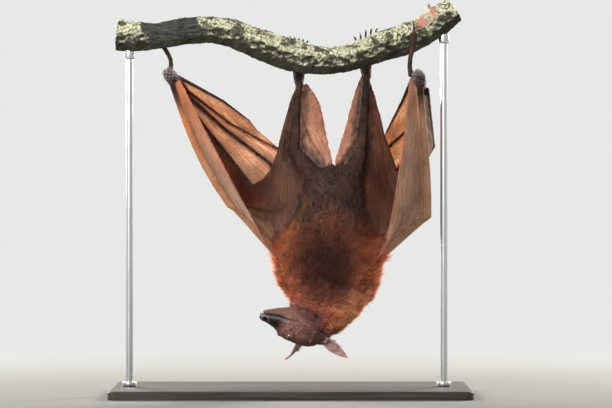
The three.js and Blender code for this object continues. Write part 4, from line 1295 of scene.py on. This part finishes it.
# %% [markdown]
# ## The branch
# The branch is old wood under crusty bark. Most of its upper side is grown over with pale lichen, full of
# dark pits. The shape comes first: the solid is remeshed finely, then eaten into by two textures, a soft
# one for swellings and a cracked one for the crust. Bark is only ever taken away, so that the branch keeps
# inside its solid.
# %% Shape the bark
def carve(piece, kind, size, depth, **settings):
    """Eats into a piece with a procedural texture."""
    texture = bpy.data.textures.new(kind.lower(), kind)
    texture.noise_scale = size
    for key, value in settings.items():
        setattr(texture, key, value)
    apply(piece, "DISPLACE", texture=texture, texture_coords="LOCAL", strength=depth, mid_level=1.0)


BRANCH_VOXEL = 1.35 * MM
STUB_AT = Vector((0.196, -0.008, 0.538))  # where a twig broke off, near the right end

branch = copy_of("branch", "perch_branch")
bpy.ops.mesh.primitive_cone_add(vertices=14, radius1=7 * MM, radius2=4.5 * MM, depth=22 * MM,
                                location=STUB_AT, rotation=(0.25, -0.55, 0))
branch = joined("branch", bpy.context.object, branch)
apply(branch, "REMESH", mode="VOXEL", voxel_size=BRANCH_VOXEL, use_smooth_shade=True)
put_points(branch, softened(points_of(branch), edges_of(branch), 10))
carve(branch, "CLOUDS", size=0.030, depth=3.2 * MM)
carve(branch, "VORONOI", size=0.0075, depth=1.9 * MM, distance_metric="DISTANCE")
carve(branch, "CLOUDS", size=0.0042, depth=1.6 * MM, noise_depth=3)
print("branch", len(branch.data.polygons), "faces")

# %% Bark material
BRANCH_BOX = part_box("perch_branch")
BARE_BARK = (-0.204, -0.118)  # the stretch of the branch where bare bark shows, grey on top and painted dark below
BARK_EDGE = 0.004  # how soft its two ends are
TORN = (0.172, 0.206)  # where the bark is torn off
RIGHT_CUT = (0.568, 0.571)  # the slanting saw cut of the right end, as x + 0.62 z


def bark_material():
    """Bark painted dark below, as shade under the branch, pale lichen above, a bare stretch painted grey
    above and dark below, and a torn place with fresh wood.
    """
    material, tree = new_material("lichened_bark")
    at = place(tree)
    x, y, z = put(tree, "SeparateXYZ", [(0, at)]).outputs
    facing = put(tree, "SeparateXYZ", [(0, put(tree, "NewGeometry").outputs["Normal"])]).outputs[2]
    rag = noise(tree, at, 55.0, 5.0)
    upward = plus(tree, facing, times(tree, minus(tree, rag, 0.5), 1.5))
    lichen = spread(tree, upward, -0.28, 0.20)
    gaps = spread(tree, noise(tree, at, 62.0, 5.0), 0.40, 0.47, 0.12, 1.0)
    lichen = times(tree, lichen, gaps)
    slanted = plus(tree, x, times(tree, minus(tree, z, 0.50), 0.5))
    slanted = plus(tree, slanted, times(tree, minus(tree, rag, 0.5), 0.05))
    left_edge = spread(tree, slanted, BARE_BARK[0], BARE_BARK[0] + BARK_EDGE)
    right_edge = spread(tree, slanted, BARE_BARK[1], BARE_BARK[1] + BARK_EDGE, 1.0, 0.0)
    bare = times(tree, left_edge, right_edge)
    lichen = times(tree, lichen, minus(tree, 1.0, bare))
    pits = put(tree, "TexVoronoi", [("Vector", at), ("Scale", 230.0), ("Randomness", 1.0)]).outputs[0]
    crumbs = noise(tree, at, 300.0, 4.0)
    holes = times(tree, spread(tree, crumbs, 0.50, 0.42), spread(tree, rag, 0.38, 0.56))
    crust = mixed(tree, spread(tree, crumbs, 0.4, 0.7), colour(0.30, 0.29, 0.19), colour(0.74, 0.72, 0.50))
    green = mixed(tree, spread(tree, noise(tree, at, 21.0), 0.5, 0.7), crust, colour(0.46, 0.48, 0.31))
    # Below, the bark is painted dark: painted shade under the branch.
    dark = mixed(tree, spread(tree, rag, 0.3, 0.7), colour(0.014, 0.014, 0.009), colour(0.056, 0.054, 0.038))
    grey = mixed(tree, spread(tree, noise(tree, stretch(tree, at, (60, 320, 320)), 1.0, 4.0), 0.35, 0.7),
                 colour(0.018, 0.019, 0.016), colour(0.082, 0.082, 0.070))
    # On the bare stretch the upper side is grey and the underside painted dark, as shade.
    base = mixed(tree, times(tree, bare, spread(tree, upward, -0.45, -0.2)), dark, grey)
    base = mixed(tree, lichen, base, mixed(tree, holes, green, colour(0.060, 0.056, 0.042)))
    torn = times(tree, spread(tree, x, TORN[0], TORN[0] + 0.006),
                 spread(tree, x, TORN[1] - 0.006, TORN[1], 1.0, 0.0))
    torn = times(tree, torn, spread(tree, upward, 0.25, 0.4))
    torn = times(tree, torn, spread(tree, y, -0.005, -0.010))
    wood = mixed(tree, noise(tree, stretch(tree, at, (90, 700, 700)), 1.0), colour(0.30, 0.10, 0.07),
                 colour(0.62, 0.34, 0.25))
    base = mixed(tree, torn, base, wood)
    end = plus(tree, spread(tree, x, BRANCH_BOX[0].x + 0.004, BRANCH_BOX[0].x + 0.002),
               spread(tree, plus(tree, x, times(tree, z, 0.62)), *RIGHT_CUT))
    rings = noise(tree, stretch(tree, at, (30, 300, 300)), 1.0, 2.0)
    base = mixed(tree, put(tree, "Clamp", [(0, end)]).outputs[0], base,
                 mixed(tree, rings, colour(0.22, 0.14, 0.075), colour(0.42, 0.29, 0.17)))
    height = plus(tree, crumbs, times(tree, pits, 0.8))
    height = plus(tree, height, times(tree, lichen, 0.8))
    rough = spread(tree, crumbs, 0.3, 0.7, 0.78, 0.98)
    shader = put(tree, "BsdfPrincipled", [("Base Color", base), ("Roughness", rough),
                                          ("Normal", bumped(tree, height, 1.2 * MM, 0.9)),
                                          ("Specular IOR Level", 0.2)])
    return surfaced(material, shader)


wear(branch, bark_material())
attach(branch, "root")
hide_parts("perch_branch")

# %% [markdown]
# ## The display stand
# The stand is kept plain: a stained board with a softened edge, and two steel rods. Each rod stands in a
# small turned collar, and has a cup at its top that takes the branch. The rods themselves are the frame's
# own solids, which only get a better finish.
# %% Board and collars
def board_material():
    material, tree = new_material("stained_board")
    at = place(tree)
    grain = noise(tree, stretch(tree, at, (9, 260, 260)), 1.0, 5.0, 0.6)
    base = mixed(tree, spread(tree, grain, 0.35, 0.7), colour(0.022, 0.019, 0.017),
                 colour(0.060, 0.050, 0.043))
    rough = spread(tree, grain, 0.3, 0.7, 0.52, 0.64)
    shader = put(tree, "BsdfPrincipled", [("Base Color", base), ("Roughness", rough),
                                          ("Normal", bumped(tree, grain, 0.2 * MM, 0.35)),
                                          ("Specular IOR Level", 0.2)])
    return surfaced(material, shader)


def steel_material():
    material, tree = new_material("brushed_steel")
    brushed = noise(tree, stretch(tree, place(tree), (2400, 2400, 30)), 1.0, 2.0)
    base = mixed(tree, brushed, colour(0.42, 0.42, 0.43), colour(0.60, 0.60, 0.61))
    shader = put(tree, "BsdfPrincipled", [("Base Color", base), ("Metallic", 1.0),
                                          ("Roughness", spread(tree, brushed, 0.3, 0.7, 0.24, 0.38))])
    return surfaced(material, shader)


def top_edges(board, height):
    """Selects the edges all round the top of the board, and nothing else."""
    only(board)
    bpy.ops.object.mode_set(mode="EDIT")
    bpy.ops.mesh.select_all(action="DESELECT")
    bpy.ops.object.mode_set(mode="OBJECT")
    for vertex in board.data.vertices:
        vertex.select = vertex.co.z > height - 0.1 * MM
    bpy.ops.object.mode_set(mode="EDIT")
    bpy.ops.mesh.select_mode(type="VERT")
    bpy.ops.mesh.select_mode(type="EDGE")


STEEL = steel_material()
board_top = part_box("stand_base")[1].z
board = copy_of("board", "stand_base")
in_edit_mode(board, lambda: bpy.ops.mesh.dissolve_limited(angle_limit=math.radians(1)))
top_edges(board, board_top)
bpy.ops.mesh.bevel(offset=3 * MM, segments=4, affect="EDGES")
bpy.ops.object.mode_set(mode="OBJECT")
only(board)
bpy.ops.object.shade_smooth_by_angle(angle=math.radians(40))
wear(board, board_material())
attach(board, "root")
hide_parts("stand_base")


def collar(name, at, height, radius, depth):
    """A low turned ring with softened edges, round a rod."""
    bpy.ops.mesh.primitive_cylinder_add(vertices=40, radius=radius, depth=depth,
                                        location=(at.x, at.y, height))
    ring = bpy.context.object
    ring.name = ring.data.name = name
    bpy.ops.object.transform_apply(location=True, rotation=True, scale=True)
    apply(ring, "BEVEL", width=1.6 * MM, segments=3, limit_method="ANGLE")
    bpy.ops.object.shade_smooth_by_angle(angle=math.radians(40))
    wear(ring, STEEL)
    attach(ring, "root")


for side in SIDES:
    middle, rod_top = middle_of(f"stand_rod_{side}"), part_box(f"stand_rod_{side}")[1].z
    collar(f"collar_{side}", middle, height=board_top + 3.5 * MM, radius=10 * MM, depth=7 * MM)
    collar(f"cup_{side}", middle, height=rod_top - 1 * MM, radius=7.5 * MM, depth=14 * MM)
    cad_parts[f"stand_rod_{side}"].material_slots[0].material = STEEL
print("stand finished")

# %% [markdown]
# ## Camera, floor and light
# The camera looks at the bat from the front, level with its body, through a long lens. Two soft lamps
# behind the bat shine through the thin wings and along the tips of the fur. The lamp in front is weaker.
# The floor is a wide disc that fades into the pale background, so no edge shows behind the stand.
# %% Camera
SENSOR = 36 * MM
CAMERA_AT = Vector((0.021, -4.0, 0.2674))
VIEW_WIDTH = 0.8568  # what the camera sees at the bat, from side to side

bpy.ops.object.camera_add(location=CAMERA_AT, rotation=(math.radians(90), 0, 0))
camera = bpy.context.object
camera.name = "camera"
camera.data.sensor_width = SENSOR / MM
camera.data.lens = SENSOR / MM * -CAMERA_AT.y / VIEW_WIDTH
bpy.context.scene.camera = camera
print("lens", round(camera.data.lens, 1), "mm")

# %% Floor and background
PALE = colour(0.80, 0.81, 0.80)
GROUND = colour(0.20, 0.203, 0.20)
FLOOR_RADIUS = 9.0
FLOOR_FADE = (0.45, 1.4)  # the floor turns into background between these distances

bpy.ops.mesh.primitive_circle_add(vertices=96, radius=FLOOR_RADIUS, fill_type="NGON")
floor = bpy.context.object
floor.name = "floor"
material, tree = new_material("pale_floor")
distance = put(tree, "VectorMath", [(0, place(tree))], operation="LENGTH").outputs["Value"]
solid = put(tree, "BsdfDiffuse", [("Color", GROUND)])
clear = put(tree, "BsdfTransparent")
wear(floor, surfaced(material, blended(tree, spread(tree, distance, *FLOOR_FADE), solid, clear)))

world = bpy.data.worlds.new("studio")
bpy.context.scene.world = world
world.use_nodes = True
world.node_tree.nodes["Background"].inputs["Color"].default_value = PALE
world.node_tree.nodes["Background"].inputs["Strength"].default_value = 1.0

# %% Lamps
MIDDLE = Vector((0.02, 0.0, 0.30))


def soft_lamp(name, place_at, size, watts, tint):
    """A square lamp that faces the bat."""
    bpy.ops.object.light_add(type="AREA", location=place_at,
                             rotation=(MIDDLE - Vector(place_at)).to_track_quat("-Z", "Y").to_euler())
    lamp = bpy.context.object
    lamp.name = name
    lamp.data.size = size
    lamp.data.energy = watts
    lamp.data.color = tint


soft_lamp("key", (-1.4, -2.2, 1.3), size=1.2, watts=70, tint=(1.0, 0.98, 0.95))
soft_lamp("back_right", (1.5, 1.6, 1.1), size=0.7, watts=125, tint=(1.0, 0.93, 0.82))
soft_lamp("back_left", (-1.4, 1.7, 0.9), size=0.9, watts=110, tint=(1.0, 0.95, 0.86))
bpy.context.scene.view_settings.view_transform = "Standard"
